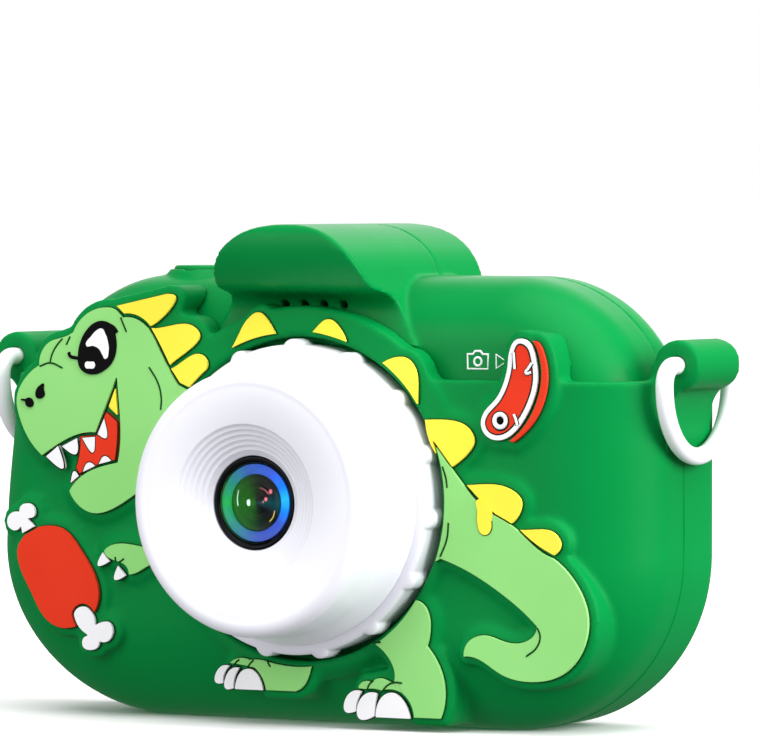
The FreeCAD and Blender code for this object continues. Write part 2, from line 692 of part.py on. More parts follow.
# Each patch of the picture is one closed outline of smooth stretches between corners.
PATCHES = {
    "head": outline(
        (-16.6, 43.7), [(-20.2, 38.2), (-21.7, 31.3)],
        [(-25.6, 29.2), (-28.5, 27.6), (-31.5, 27.0), (-33.8, 28.0), (-35.3, 30.0)],
        [(-33.0, 32.3), (-30.0, 33.5), (-27.7, 34.0)], [(-27.3, 37.0), (-27.4, 40.5), (-27.8, 45.0)],
        [(-31.0, 37.7)], [(-33.5, 37.5), (-36.5, 36.3), (-39.5, 34.5)],
        [(-41.5, 36.5), (-43.2, 39.8), (-43.6, 42.2), (-42.8, 44.2), (-40.0, 46.7)],
        [(-39.6, 48.5), (-38.4, 49.8), (-36.6, 50.4), (-34.6, 51.2)],
        [(-33.3, 53.0), (-31.0, 54.3), (-28.5, 54.4), (-26.9, 53.2)],
        [(-25.0, 53.1), (-22.9, 51.8), (-21.2, 49.2), (-19.6, 46.4), (-18.2, 44.4)], [(-16.6, 43.7)]),
    "mouth": outline(
        (-33.6, 37.4), [(-31.0, 37.6)], [(-29.4, 40.8)], [(-27.5, 39.4)],
        [(-27.5, 37.0), (-27.9, 34.1)], [(-30.4, 33.5), (-33.6, 32.1)], [(-34.3, 33.1)],
        [(-33.7, 35.2), (-33.6, 37.4)]),
    "mouth_corner": outline((-29.2, 41.2), [(-27.9, 44.3)], [(-27.5, 39.8)], [(-29.2, 41.2)]),
    "hand": outline(
        (-29.9, 22.2), [(-28.8, 23.0), (-25.5, 23.2), (-20.7, 23.2)], [(-19.6, 20.0)],
        [(-23.5, 19.9), (-24.9, 19.2), (-26.0, 19.0)], [(-26.6, 20.3), (-28.4, 20.9), (-29.9, 22.2)]),
    "body_tail": outline(
        (20.3, 37.5), [(21.75, 29.67), (20.3, 21.9)], [(21.3, 22.4)],
        [(25.5, 20.8), (29.5, 18.6), (33.0, 16.2), (35.3, 14.2)],
        [(34.9, 13.2), (33.4, 12.3), (30.5, 12.3), (27.6, 13.0), (25.6, 12.3), (24.6, 9.9)],
        [(26.4, 9.8), (30.0, 7.9), (34.5, 7.0), (39.3, 8.2), (42.2, 11.6), (42.9, 15.5), (41.4, 19.5),
         (37.8, 23.1)],
        [(35.0, 24.6), (32.0, 27.0), (28.0, 29.1), (24.7, 32.2), (20.3, 37.5)]),
    "leg": outline(
        (17.6, 17.2), [(19.2, 16.2), (19.8, 14.4), (19.4, 11.2)],
        [(20.8, 9.4), (21.8, 7.0), (22.0, 4.5), (21.3, 1.8)], [(17.3, 1.8)],
        [(16.9, 3.4), (15.6, 4.9)], [(14.2, 5.3), (12.6, 5.1)], [(11.5, 5.3), (10.2, 5.2)], [(9.0, 5.3)],
        [(9.6, 6.3), (10.5, 6.5), (11.1, 6.3)], [(12.0, 6.9), (13.1, 6.8), (14.3, 6.3)],
        [(14.4, 7.6), (13.4, 9.6), (11.4, 11.2)], [(14.9, 13.9), (17.6, 17.2)]),
    "foot": outline(
        (-4.7, 8.5), [(-1.5, 8.0), (2.1, 8.1)], [(1.7, 6.8), (0.9, 5.3), (-0.4, 4.5)], [(-4.9, 4.5)],
        [(-5.5, 6.2), (-6.6, 7.4)], [(-8.6, 7.7), (-10.6, 7.9)], [(-9.4, 8.7), (-7.3, 8.6)],
        [(-5.9, 8.7), (-4.7, 8.5)]),
    "spike_head_top": outline(
        (-28.0, 54.7), [(-20.0, 56.4)], [(-18.6, 55.8), (-19.1, 54.6), (-22.7, 52.1)],
        [(-24.9, 53.4), (-26.6, 53.5)], [(-28.0, 54.7)]),
    "spike_head_middle": outline(
        (-22.6, 51.9), [(-19.0, 52.3), (-15.9, 52.1), (-14.9, 51.0), (-16.2, 49.1), (-19.5, 46.7)],
        [(-21.0, 49.4), (-22.6, 51.9)]),
    "spike_head_low": outline(
        (-19.5, 46.5), [(-17.0, 47.9), (-14.8, 48.5), (-13.8, 47.7), (-13.9, 46.3)],
        [(-15.2, 45.2), (-16.5, 43.9)], [(-18.0, 44.5)], [(-19.5, 46.5)]),
    "spike_lens_a": outline(
        (-10.5, 48.9), [(-9.1, 51.0), (-7.4, 53.4), (-5.9, 54.1), (-4.7, 53.3), (-3.2, 51.1)],
        [(-6.8, 50.4), (-10.5, 48.9)]),
    "spike_lens_b": outline(
        (2.0, 51.4), [(3.1, 52.5), (4.6, 53.3), (5.9, 52.6), (7.4, 50.1)], [(4.7, 50.9), (2.0, 51.4)]),
    "spike_lens_c": outline(
        (12.5, 47.6), [(14.2, 48.4), (16.2, 48.4), (17.5, 47.2), (18.0, 44.5), (18.0, 41.9)],
        [(15.6, 45.0), (12.5, 47.6)]),
    "spike_back_a": outline(
        (18.9, 40.5), [(22.6, 40.5), (25.6, 39.3), (26.3, 37.8), (25.5, 36.2), (22.9, 34.2)],
        [(20.8, 35.7), (18.9, 40.5)]),
    "spike_back_b": outline(
        (24.9, 32.2), [(28.0, 32.4), (31.5, 31.8), (33.2, 30.2), (32.8, 28.4), (31.7, 27.2)],
        [(29.3, 28.4), (26.8, 30.4), (24.9, 32.2)]),
    "spike_back_c": outline(
        (32.6, 26.7), [(35.5, 26.8), (38.0, 26.3), (38.8, 25.3), (37.9, 23.3)], [(35.2, 24.7), (32.6, 26.7)]),
    "drumstick_meat": [closed_curve([
        (-43.2, 22.9), (-41.5, 24.6), (-38.8, 25.4), (-36.0, 24.9), (-33.4, 22.3), (-31.2, 19.0),
        (-30.5, 16.3), (-31.3, 13.8), (-33.6, 12.1), (-36.3, 11.6), (-38.8, 12.6),
         (-41.3, 16.2), (-43.2, 19.8)])],
    "bone_high": outline(
        (-42.7, 24.0), [(-42.9, 24.9)],
        [(-44.0, 24.4), (-45.0, 25.1), (-45.0, 26.3), (-44.3, 27.0), (-43.2, 27.1)],
        [(-42.8, 28.0), (-41.8, 28.3), (-40.7, 27.7), (-40.5, 26.8), (-41.6, 26.1)], [(-40.5, 25.1)],
        [(-42.7, 24.0)]),
    "bone_low": outline(
        (-34.6, 13.6), [(-34.0, 14.5), (-32.9, 14.8), (-31.8, 14.2), (-31.1, 12.4)],
        [(-30.2, 12.8), (-29.0, 12.8), (-28.3, 11.8), (-28.6, 10.6), (-30.4, 10.0)],
        [(-30.9, 9.1), (-32.0, 8.8), (-33.1, 9.2), (-33.3, 10.0), (-32.5, 10.9)],
        [(-34.1, 12.3), (-34.6, 13.6)]),
    "steak_rim": [closed_curve([
        (31.5, 50.0), (33.0, 51.1), (34.5, 50.4), (35.3, 48.5), (35.6, 46.0), (35.1, 43.5), (34.0, 41.2),
        (32.5, 39.2), (31.0, 38.1), (29.5, 37.8), (27.8, 38.5), (27.1, 40.0), (27.7, 41.7), (29.2, 43.2),
        (30.3, 45.0), (31.0, 47.5)])],
    "steak_side": outline(
        (34.5, 50.8), [(35.4, 50.7), (36.5, 49.0), (37.0, 46.5), (36.7, 43.8), (35.5, 41.0), (33.5, 38.7),
                       (32.0, 37.6)], [(31.0, 37.8)],
        [(32.7, 39.1), (34.3, 41.1), (35.4, 43.5), (35.9, 46.1), (35.6, 48.7), (34.5, 50.8)]),
}

# Teeth and claws are small rounded points: base corner, tip, base corner.
TEETH = [
    [(-38.9, 34.5), (-36.1, 32.9), (-36.9, 36.0)], [(-36.4, 35.9), (-34.0, 34.9), (-33.9, 37.1)],
    [(-33.2, 37.1), (-31.4, 35.1), (-31.1, 37.3)], [(-30.8, 37.6), (-29.5, 37.0), (-29.7, 39.8)],
    [(-35.0, 31.0), (-34.3, 32.7), (-33.6, 32.0)], [(-33.1, 32.5), (-32.1, 33.9), (-31.0, 33.4)],
    [(-30.6, 33.6), (-29.6, 34.8), (-28.5, 34.1)],
]
CLAWS = [
    [(-30.0, 21.9), (-30.7, 20.2), (-28.9, 20.8)], [(-27.6, 20.2), (-28.1, 18.4), (-26.4, 19.0)],
]

# Toenails are rounder: the outer curve over the top, then the side that lies against the next nail.
TOENAILS = [
    outline((-11.4, 5.3), [(-12.6, 5.6), (-12.3, 6.8), (-11.4, 7.6), (-10.4, 7.6)],
            [(-11.2, 6.6), (-11.4, 5.3)]),
    outline((-9.8, 4.7), [(-11.1, 4.8), (-10.9, 6.2), (-10.1, 7.2), (-8.9, 7.4)], [(-9.6, 6.2), (-9.8, 4.7)]),
    outline((-5.3, 4.6), [(-9.5, 4.6)], [(-9.2, 6.0), (-8.3, 7.1), (-7.2, 7.3), (-6.2, 6.7), (-5.6, 5.7),
                                        (-5.3, 4.6)]),
    outline((8.7, 2.4), [(7.0, 2.6), (7.3, 4.1), (8.3, 5.0), (9.6, 5.0)], [(8.9, 3.7), (8.7, 2.4)]),
    outline((11.5, 1.9), [(8.95, 2.0), (9.2, 3.6), (10.2, 4.7), (11.9, 4.8)], [(11.6, 3.4), (11.5, 1.9)]),
    outline((16.8, 1.75), [(11.75, 1.75)], [(12.0, 3.4), (12.9, 4.6), (14.2, 5.0), (15.6, 4.2), (16.4, 3.0),
                                            (16.8, 1.75)]),
]


def patch(name):
    """One coloured patch: its outline drawn in by half a groove, standing on the picture's ground."""
    ground = -size("picture_ground")
    drawn = sketch(name + "_outline", PATCHES[name], "-picture_ground")
    inner = widen(name + "_inner", drawn, -size("groove") / 2, ground)
    return prism(name + "_patch", inner, "picture_thick"), drawn


def point_prisms(name, triples):
    """A rounded point for each base corner, tip and base corner."""
    items = []
    for index, (first, tip, last) in enumerate(triples):
        drawn = sketch(f"{name}_{index}_sketch", outline(first, [tip, last], [first]), "-picture_ground")
        items.append(prism(f"{name}_{index}", drawn, "picture_thick"))
    return items


def build_picture():
    """The coloured patches around the lens, and the sketches that the sleeve's ground follows."""
    ground = -size("picture_ground")
    groove = size("groove")
    patches = {}
    drawn = {}
    for name in PATCHES:
        patches[name], drawn[name] = patch(name)

    teeth = group("dino_teeth", point_prisms("tooth", TEETH))
    nails = []
    nail_room = []
    for index, curves in enumerate(TOENAILS):
        nail = sketch(f"toenail_{index}_sketch", curves, "-picture_ground")
        nails.append(prism(f"toenail_{index}", nail, "picture_thick"))
        wide = widen(f"nail_room_{index}_outline", nail, groove, ground)
        nail_room.append(prism(f"nail_room_{index}", wide, "picture_thick"))
    group("dino_claws", [*point_prisms("claw", CLAWS), *nails])
    cut("dino_mouth", patches["mouth"], [teeth])
    group("dino_head", [patches["head"]])
    group("dino_mouth_corner", [patches["mouth_corner"]])
    group("dino_body_tail", [patches["body_tail"]])
    limbs = group("limbs_drawn", [patches[name] for name in ("hand", "leg", "foot")])
    cut("dino_limbs", limbs, nail_room)
    spikes = {place: [patches[name] for name in PATCHES if name.startswith("spike_" + place)]
              for place in ("head", "lens", "back")}
    group("head_spikes", spikes["head"])
    group("lens_spikes", spikes["lens"])
    back = prism("back_room", widen("back_wide", drawn["body_tail"], groove / 2, ground), "picture_thick")
    cut("back_spikes", group("back_spikes_drawn", spikes["back"]), [back])
    group("drumstick_bones", [patches["bone_high"], patches["bone_low"]])
    room = [prism(f"{name}_room", widen(f"{name}_wide", drawn[name], groove, ground), "picture_thick")
            for name in ("bone_high", "bone_low")]
    cut("drumstick_meat", patches["drumstick_meat"], room)
    band = size("steak_rim_width")
    inside_line = widen("steak_inside_outline", drawn["steak_rim"], -band, ground)
    cut("steak_rim", patches["steak_rim"], [prism("steak_inside", inside_line, "picture_thick")])
    group("steak_side", [patches["steak_side"]])
    meat_line = widen("steak_meat_outline", drawn["steak_rim"], -band - groove / 2, ground)
    meat = prism("steak_meat_patch", meat_line, "picture_thick")
    bone_hole = rod_along_y("steak_bone_hole", "bone_radius + 0.1", "bone_x", "-20", "bone_z", "10")
    cut("steak_meat", meat, [bone_hole])
    group("steak_bone", [rod_along_y("steak_bone_disc", "bone_radius", "bone_x",
                                     "-picture_ground - picture_thick", "bone_z", "picture_thick")])

    eye = sketch("eye_outline", [closed_curve([
        (-33.6, 48.2), (-33.0, 50.2), (-31.5, 52.1), (-29.8, 52.6), (-28.3, 51.2), (-27.8, 49.0),
        (-28.6, 47.0), (-30.4, 45.9), (-32.4, 45.7), (-33.5, 46.7)])], "-picture_ground - picture_thick")
    white = sketch("eye_white_outline", outline(
        (-32.4, 49.7), [(-31.4, 51.3), (-30.2, 51.8)], [(-29.2, 50.0), (-29.7, 47.8)],
        [(-30.6, 49.2), (-32.4, 49.7)]), "-picture_ground - picture_thick - detail_thick")
    group("dino_eye", [prism("eye_patch", eye, "detail_thick")])
    group("dino_eye_white", [prism("eye_white_patch", white, "detail_thick")])
    nostrils = [rod_along_y(f"nostril_{index}", "nostril_radius", f"{x}",
                            "-picture_ground - picture_thick - detail_thick", f"{z}", "detail_thick")
                for index, (x, z) in enumerate(((-41.7, 41.9), (-39.8, 43.4)))]
    group("dino_nostrils", nostrils)
    return drawn


# ---------------------------------------------------------------- silicone sleeve

def sleeve_outline():
    """The sleeve's open-topped outline: flat bottom, two large corners, flat top."""
    half = size("body_half_width") + size("sleeve_wall")
    radius = size("body_corner") + size("sleeve_wall")
    high = size("sleeve_high")
    sides = []
    for side in (1, -1):
        centre = Vector(side * (half - radius), radius, 0)
        slope = math.pi / 4
        middle = centre + radius * Vector(side * math.sin(slope), -math.cos(slope), 0)
        sides.append(Part.Arc(Vector(centre.x, 0, 0), middle, Vector(side * half, radius, 0)))
        sides.append(Part.LineSegment(Vector(side * half, radius, 0), Vector(side * half, high, 0)))
    sides.append(Part.LineSegment(Vector(-half, high, 0), Vector(half, high, 0)))
    sides.append(Part.LineSegment(Vector(radius - half, 0, 0), Vector(half - radius, 0, 0)))
    return sides


def sleeve_block():
    """The sleeve's outer shape: behind y = 0 with small round edges, before it with wide elliptic ones."""
    def below_top(y):
        def test(edge):
            return lies_at_y(y)(edge) and edge.BoundBox.ZMin < size("sleeve_high") - 0.1
        return test
    back_plate = prism("sleeve_back_plate", sketch("sleeve_back_sketch", sleeve_outline(), "sleeve_back"),
                       "sleeve_back")
    back = round_edges("sleeve_back_half", back_plate, below_top(size("sleeve_back")), "sleeve_back_edge")

    # The front half is rounded with circles while it is stretched along Y, then squeezed to its real depth.
    stretch = size("sleeve_edge_width") / size("sleeve_edge_depth")
    front_plate = prism("sleeve_front_plate", sketch("sleeve_front_sketch", sleeve_outline(), "0"),
                        f"sleeve_front * {stretch}")
    document.recompute()
    wide = size("sleeve_edge_width")
    low = size("sleeve_low_edge") * stretch
    on_front = below_top(-size("sleeve_front") * stretch)
    edges = []
    for index, edge in enumerate(front_plate.Shape.Edges, start=1):
        if on_front(edge):
            ends = [low if corner.z < 0.1 else wide for corner in (edge.valueAt(edge.FirstParameter),
                                                                   edge.valueAt(edge.LastParameter))]
            if edge.Orientation == "Reversed":
                ends.reverse()
            if edge.BoundBox.ZLength > 1 and edge.BoundBox.XLength < 0.01:
                ends = [wide, wide]
            edges.append((index, *ends))
    rounded = document.addObject("Part::Fillet", "sleeve_front_rounded")
    rounded.Base = front_plate
    rounded.Edges = edges
    document.recompute()
    squeeze = FreeCAD.Matrix()
    squeeze.scale(1.0, 1.0 / stretch, 1.0)
    front = document.addObject("Part::Feature", "sleeve_front_half")
    front.Shape = rounded.Shape.transformGeometry(squeeze)
    return join("sleeve_block", [back, front])


def build_sleeve(drawn, hump):
    """The sleeve: a cup with a lens opening, the picture's raised ground and two strap lugs."""
    shell = sleeve_block()
    thickness = "picture_ground - picture_back"
    grounds = []
    for name, source in drawn.items():
        wide = widen(name + "_ground_outline", source, size("picture_margin"), -size("picture_back"))
        grounds.append(prism(name + "_ground", wide, thickness))
    arch_disc = rod_along_y("arch_disc", "arch", "0", "-picture_ground", "lens_centre", thickness)
    arch_half = block("arch_half", "-40", "-30", "lens_centre", "80", "40", "40")
    arch_piece = overlap("arch_piece", arch_disc, arch_half)
    collar = cone_along_y("collar", "opening + 1.3", "collar_slope", "0", "-picture_ground", "lens_centre",
                          "picture_ground - sleeve_front + 1")
    tall = block("collar_room", "-40", "-30", "0", "80", "40", "sleeve_high - 1")
    collar_piece = overlap("collar_piece", collar, tall)

    lugs = []
    for side in (-1, 1):
        tag = "left" if side < 0 else "right"
        barrel = rod_along_y(f"lug_barrel_{tag}", "lug_radius", f"{side} * lug_x", "-lug_front", "lug_z",
                             "lug_front + lug_back")
        low = f"{side} * (lug_x - 1.9) - 1.9"
        strap = block(f"lug_strap_{tag}", low, "-lug_front", "lug_z - lug_strap", "3.8",
                      "lug_front + lug_back", "lug_strap")
        lugs += [barrel, strap]
    bores = [rod_along_y(f"lug_bore_{tag}", "ring_wire + ring_bore_gap", f"{side} * lug_x", "-20", "lug_z",
                         "40")
             for tag, side in (("left", -1), ("right", 1))]

    solid = join("sleeve_solid", [shell, arch_piece, collar_piece, *grounds, *lugs])
    room = body_block("sleeve_room", -size("sleeve_gap"))
    window = prism("sleeve_window", sketch("window_sketch", window_outline(), "15"), "13")
    opening_hole = rod_along_y("lens_opening", "opening", "0", "-30", "lens_centre", "25")
    port_slot = block("port_slot", "port_x - 6.2", "-3.4", "-1", "12.4", "7.4", "5")
    card_slot_room = block("card_slot_room", "card_x - 7", "-3.4", "-1", "14", "7.4", "5")
    cut("silicone_sleeve", solid, [room, hump, window, opening_hole, port_slot, card_slot_room, *bores])


def window_outline():
    """The opening in the sleeve's back wall, which goes up past its open top."""
    half = size("window_half_width")
    return rounded_rectangle(-half, half, size("window_low"), 80, size("window_corner"))


# ---------------------------------------------------------------- strap rings

def build_rings():
    """Two D-shaped rings, hanging from the lugs: a straight bar and a round loop of one wire."""
    half = size("ring_long") / 2 - size("ring_wire")
    drop = size("ring_drop") - size("ring_wire")
    corner = size("ring_corner")
    straight = drop - corner - half
    slope = math.sqrt(0.5)
    middle = (size("lug_back") - size("lug_front")) / 2
    # Points are (y, z) from the middle of the bar.
    path = [Part.LineSegment(Vector(corner - half, 0, 0), Vector(half - corner, 0, 0))]
    for side in (1, -1):
        inner = Vector(side * (half - corner), 0, 0)
        turn = inner + Vector(side * corner * slope, corner * (slope - 1), 0)
        path.append(Part.Arc(inner, turn, Vector(side * half, -corner, 0)))
        path.append(Part.LineSegment(Vector(side * half, -corner, 0),
                                     Vector(side * half, -corner - straight, 0)))
    path.append(Part.Arc(Vector(half, -corner - straight, 0), Vector(0, -drop, 0),
                         Vector(-half, -corner - straight, 0)))
    for name, side in (("d_ring_left", -1), ("d_ring_right", 1)):
        line = document.addObject("Sketcher::SketchObject", name + "_path")
        line.Placement = Placement(Vector(0, middle, 0), Rotation(Vector(1, 1, 1), 120))
        line.addGeometry(path, False)
        bind(line, "Placement.Base.x", f"{side} * lug_x")
        bind(line, "Placement.Base.z", "lug_z")
        section = document.addObject("Part::Circle", name + "_section")
        section.Placement = Placement(Vector(0, middle, 0), FACING_FRONT)
        bind(section, "Radius", "ring_wire")
        bind(section, "Placement.Base.x", f"{side} * lug_x")
        bind(section, "Placement.Base.z", "lug_z")
        document.recompute()
        ring = document.addObject("Part::Sweep", name)
        ring.Sections = [section]
        ring.Spine = (line, [f"Edge{index}" for index in range(1, len(line.Shape.Edges) + 1)])
        ring.Solid = True
        ring.Frenet = False


# ---------------------------------------------------------------- electronics

def build_electronics():
    """Circuit board, screen, battery, switches, sockets, card, speaker and the rear-facing camera."""
    build_board()
    build_screen()
    build_sockets()
    build_sound_and_selfie()
    build_screws()


def build_board():
    """The main board, the battery in front of it, and the switches under the keys."""
    plate = block("board_plate", "board_left", "board_front", "board_low", "board_width", "board_thick",
                  "board_tall")
    notches = [rod_along_y(f"board_notch_{index}", "post_radius + 0.4", x, "0", height, "6")
               for index, (x, height) in enumerate(SCREW_PLACES)]
    cut("main_board", plate, notches)
    group("battery", [block("battery_block", "battery_left", "-battery_front", "battery_low",
                            "battery_width", "battery_thick", "battery_tall")])

    places = [("power_x", "power_z"), ("mode_x", "mode_z"), ("pad_x", "pad_z")]
    places += [petal_middle(index) for index in range(4)]
    switches = [block(f"switch_{index}", f"{x} - switch_width / 2", "board_front + board_thick",
                      f"{z} - switch_width / 2", "switch_width", "switch_tall", "switch_width")
                for index, (x, z) in enumerate(places)]
    group("key_switches", switches)
    group("shutter_switch", [block(
        "shutter_switch_block", "shutter_x - shutter_switch_width / 2", "shutter_y - shutter_switch_front",
        "shutter_switch_low", "shutter_switch_width", "board_front - shutter_y + shutter_switch_front",
        "shutter_switch_tall")])


def build_screen():
    """The display module and the clear window over it."""
    group("lcd_module", [block("lcd_block", "screen_x - lcd_width / 2", "lcd_front",
                               "screen_z - lcd_tall / 2", "lcd_width", "lcd_thick", "lcd_tall")])
    group("screen_window", [block("window_block", "screen_x - screen_width / 2", "screen_front",
                                  "screen_z - screen_tall / 2", "screen_width", "screen_thick",
                                  "screen_tall")])


def build_sockets():
    """The charging socket, and the card cage with its card."""
    port = block("port_shell", "port_x - port_width / 2", "board_front - port_thick", "port_low",
                 "port_width", "port_thick", "port_deep")
    mouth = block("port_mouth", "port_x - port_width / 2 + port_skin", "board_front - port_thick + port_skin",
                  "port_low - 0.1", "port_width - 2 * port_skin", "port_thick - 2 * port_skin",
                  "port_deep - 1.3")
    tongue = block("port_tongue", "port_x - tongue_width / 2",
                   "board_front - port_thick / 2 - tongue_thick / 2", "port_low + 1.1", "tongue_width",
                   "tongue_thick", "port_deep - 2.3")
    join("usb_port", [cut("port_hollow", port, [mouth]), tongue])
    cage = block("card_cage", "card_x - cage_width / 2", "board_front - cage_thick", "cage_low", "cage_width",
                 "cage_thick", "cage_long")
    space = block("card_space", "card_x - card_width / 2 - 0.15", "board_front - cage_thick + cage_skin",
                  "card_low", "card_width + 0.3", "card_thick + 0.2", "card_long + 0.3")
    cut("card_slot", cage, [space])
    group("memory_card", [block("card_plate", "card_x - card_width / 2",
                                "board_front - cage_thick + cage_skin + 0.1", "card_low", "card_width",
                                "card_thick", "card_long")])


def build_sound_and_selfie():
    """Speaker, microphone, and the rear-facing camera with its black window and lens."""
    group("speaker", [rod_along_y("speaker_disc", "speaker_radius", "0", "-speaker_front",
                                  "speaker_hole_height + 0.2", "speaker_thick")])
    group("microphone", [rod_along_y("microphone_disc", "microphone_radius", "microphone_x",
                                     "board_front + board_thick", "microphone_z", "1.4")])
    pane_front = "hump_back - recess_depth - 0.9"
    pane = prism("selfie_pane", sketch("selfie_sketch", selfie_outline(0.0), pane_front), "selfie_pane_thick",
                 towards_front=False)
    pane_hole = rod_along_y("selfie_pane_hole", "selfie_lens_radius + 0.05", "0", "10", "selfie_height", "5")
    cut("selfie_bezel", pane, [pane_hole])
    group("selfie_lens", [rod_along_y("selfie_lens_disc", "selfie_lens_radius", "0", pane_front,
                                      "selfie_height", "glass_thick")])
    group("selfie_camera_module", [block(
        "selfie_block", "-selfie_module / 2", "selfie_module_front", "selfie_height - selfie_module / 2",
        "selfie_module", "selfie_module_deep", "selfie_module - 0.8")])


def build_screws():
    """Four cross-head screws, driven from the front through the front shell's tubes."""
    screws = []
    for index, (x, height) in enumerate(SCREW_PLACES):
        head = rod_along_y(f"screw_head_{index}", "screw_head", x, "-screw_head_front", height,
                           "screw_head_thick")
        shank = rod_along_y(f"screw_shank_{index}", "screw_radius", x, "1 - screw_head_front", height,
                            "screw_head_front - 1 + screw_end")
        cross = [block(f"screw_cross_{index}_{turn}", f"{x} - {wide} / 2", "-screw_head_front - 0.5",
                       f"{height} - {tall} / 2", wide, "1.2", tall)
                 for turn, (wide, tall) in enumerate((("screw_cross_width", "2 * screw_cross"),
                                                      ("2 * screw_cross", "screw_cross_width")))]
        screws.append(cut(f"screw_{index}", join(f"screw_body_{index}", [shank, head]), cross))
    group("case_screws", screws)


# ---------------------------------------------------------------- build and write

SUBPARTS = """
silicone_sleeve front_shell rear_shell dino_head dino_mouth dino_mouth_corner dino_teeth dino_claws dino_eye
dino_eye_white dino_nostrils dino_body_tail dino_limbs head_spikes lens_spikes back_spikes drumstick_meat
drumstick_bones steak_rim steak_meat steak_side steak_bone lens_ring lens_cap lens_bezel lens_glass
front_camera_module shutter_button power_button mode_button ok_button dpad_right dpad_up dpad_left dpad_down
d_ring_left d_ring_right main_board lcd_module screen_window battery key_switches shutter_switch usb_port
card_slot memory_card speaker microphone selfie_bezel selfie_lens selfie_camera_module case_screws
""".split()

hump = build_shells()
build_keys()
build_lens()
build_sleeve(build_picture(), hump)
build_rings()
build_electronics()
document.recompute()

by_label = {item.Label: item for item in document.Objects}
for item in document.Objects:
    if "Invalid" in item.State or "Error" in item.State:
        raise RuntimeError(f"{item.Label} did not build: {item.State}")
for label in SUBPARTS:
    shape = by_label[label].Shape
    if shape.isNull() or not shape.isValid() or not shape.Solids:
        raise RuntimeError(f"{label} is not a sound solid")

os.makedirs("parts", exist_ok=True)
for label in SUBPARTS:
    by_label[label].Shape.exportStep(f"parts/{label}.step")
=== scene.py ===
import math

import bmesh
import bpy
from mathutils import Matrix, Vector


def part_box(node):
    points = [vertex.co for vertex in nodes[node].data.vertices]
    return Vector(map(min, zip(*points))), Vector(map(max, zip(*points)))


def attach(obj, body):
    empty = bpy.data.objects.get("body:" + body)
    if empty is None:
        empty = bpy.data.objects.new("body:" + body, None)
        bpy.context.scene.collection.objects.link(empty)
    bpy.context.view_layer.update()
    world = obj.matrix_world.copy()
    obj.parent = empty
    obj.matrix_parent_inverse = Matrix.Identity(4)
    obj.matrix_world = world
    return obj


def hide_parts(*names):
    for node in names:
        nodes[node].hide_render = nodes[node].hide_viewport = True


# A child's digital camera in a silicone sleeve, seen from the front and a little from its left.
# Everything is in metres in the frame of the CAD model: +Z up, the lens towards -Y.

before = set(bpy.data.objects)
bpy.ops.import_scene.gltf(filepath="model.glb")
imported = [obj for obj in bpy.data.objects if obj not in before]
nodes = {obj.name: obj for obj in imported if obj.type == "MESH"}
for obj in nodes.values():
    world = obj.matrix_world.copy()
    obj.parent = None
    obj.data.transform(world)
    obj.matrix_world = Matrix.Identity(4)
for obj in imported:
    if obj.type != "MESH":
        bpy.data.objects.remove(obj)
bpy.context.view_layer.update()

MM = 0.001
PICTURE_FACE = -16.4      # y of the front of the raised picture's coloured patches, in millimetres


# ---------------------------------------------------------------- materials

def linear(value):
    """One sRGB channel from 0 to 255 as a linear number."""
    share = value / 255
    return share / 12.92 if share <= 0.04045 else ((share + 0.055) / 1.055) ** 2.4


def colour(red, green, blue):
    return linear(red), linear(green), linear(blue), 1.0


def add_node(material, kind, **settings):
    item = material.node_tree.nodes.new(kind)
    for name, value in settings.items():
        if name in item.inputs:
            item.inputs[name].default_value = value
        else:
            setattr(item, name, value)
    return item


def wire(material, source, output, target, socket):
    material.node_tree.links.new(source.outputs[output], target.inputs[socket])


def new_material(name):
    """An empty node material, its Principled shader and its coordinates."""
    material = bpy.data.materials.new(name)
    material.use_nodes = True
    shader = material.node_tree.nodes["Principled BSDF"]
    place = add_node(material, "ShaderNodeTexCoord")
    return material, shader, place


def add_noise(material, place, scale, detail=3.0):
    noise = add_node(material, "ShaderNodeTexNoise", Scale=scale, Detail=detail)
    wire(material, place, "Object", noise, "Vector")
    return noise


def add_roughness(material, shader, place, low, high, scale):
    """Roughness that wanders between two values."""
    noise = add_noise(material, place, scale)
    spread = add_node(material, "ShaderNodeMapRange")
    spread.inputs["To Min"].default_value = low
    spread.inputs["To Max"].default_value = high
    wire(material, noise, "Fac", spread, "Value")
    wire(material, spread, "Result", shader, "Roughness")


def add_grain(material, shader, place, scale, depth):
    """The fine moulded grain of a surface, depth in metres."""
    noise = add_noise(material, place, scale, detail=2.0)
    bump = add_node(material, "ShaderNodeBump", Strength=1.0, Distance=depth)
    wire(material, noise, "Fac", bump, "Height")
    wire(material, bump, "Normal", shader, "Normal")


def plastic(name, low, high, roughness, grain=2000.0, depth=2e-6, specular=0.5):
    """A moulded material: a slight colour drift from low to high, uneven gloss and a fine grain."""
    material, shader, place = new_material(name)
    drift = add_noise(material, place, 45.0)
    ramp = add_node(material, "ShaderNodeValToRGB")
    ramp.color_ramp.elements[0].position = 0.3
    ramp.color_ramp.elements[0].color = low
    ramp.color_ramp.elements[1].position = 0.7
    ramp.color_ramp.elements[1].color = high
    wire(material, drift, "Fac", ramp, "Fac")
    wire(material, ramp, "Color", shader, "Base Color")
    add_roughness(material, shader, place, roughness * 0.9, roughness * 1.1, 160.0)
    add_grain(material, shader, place, grain, depth)
    shader.inputs["Specular IOR Level"].default_value = specular
    return material


def metal(name, low, high, roughness):
    material = plastic(name, low, high, roughness, grain=900.0, depth=3e-6)
    material.node_tree.nodes["Principled BSDF"].inputs["Metallic"].default_value = 1.0
    return material


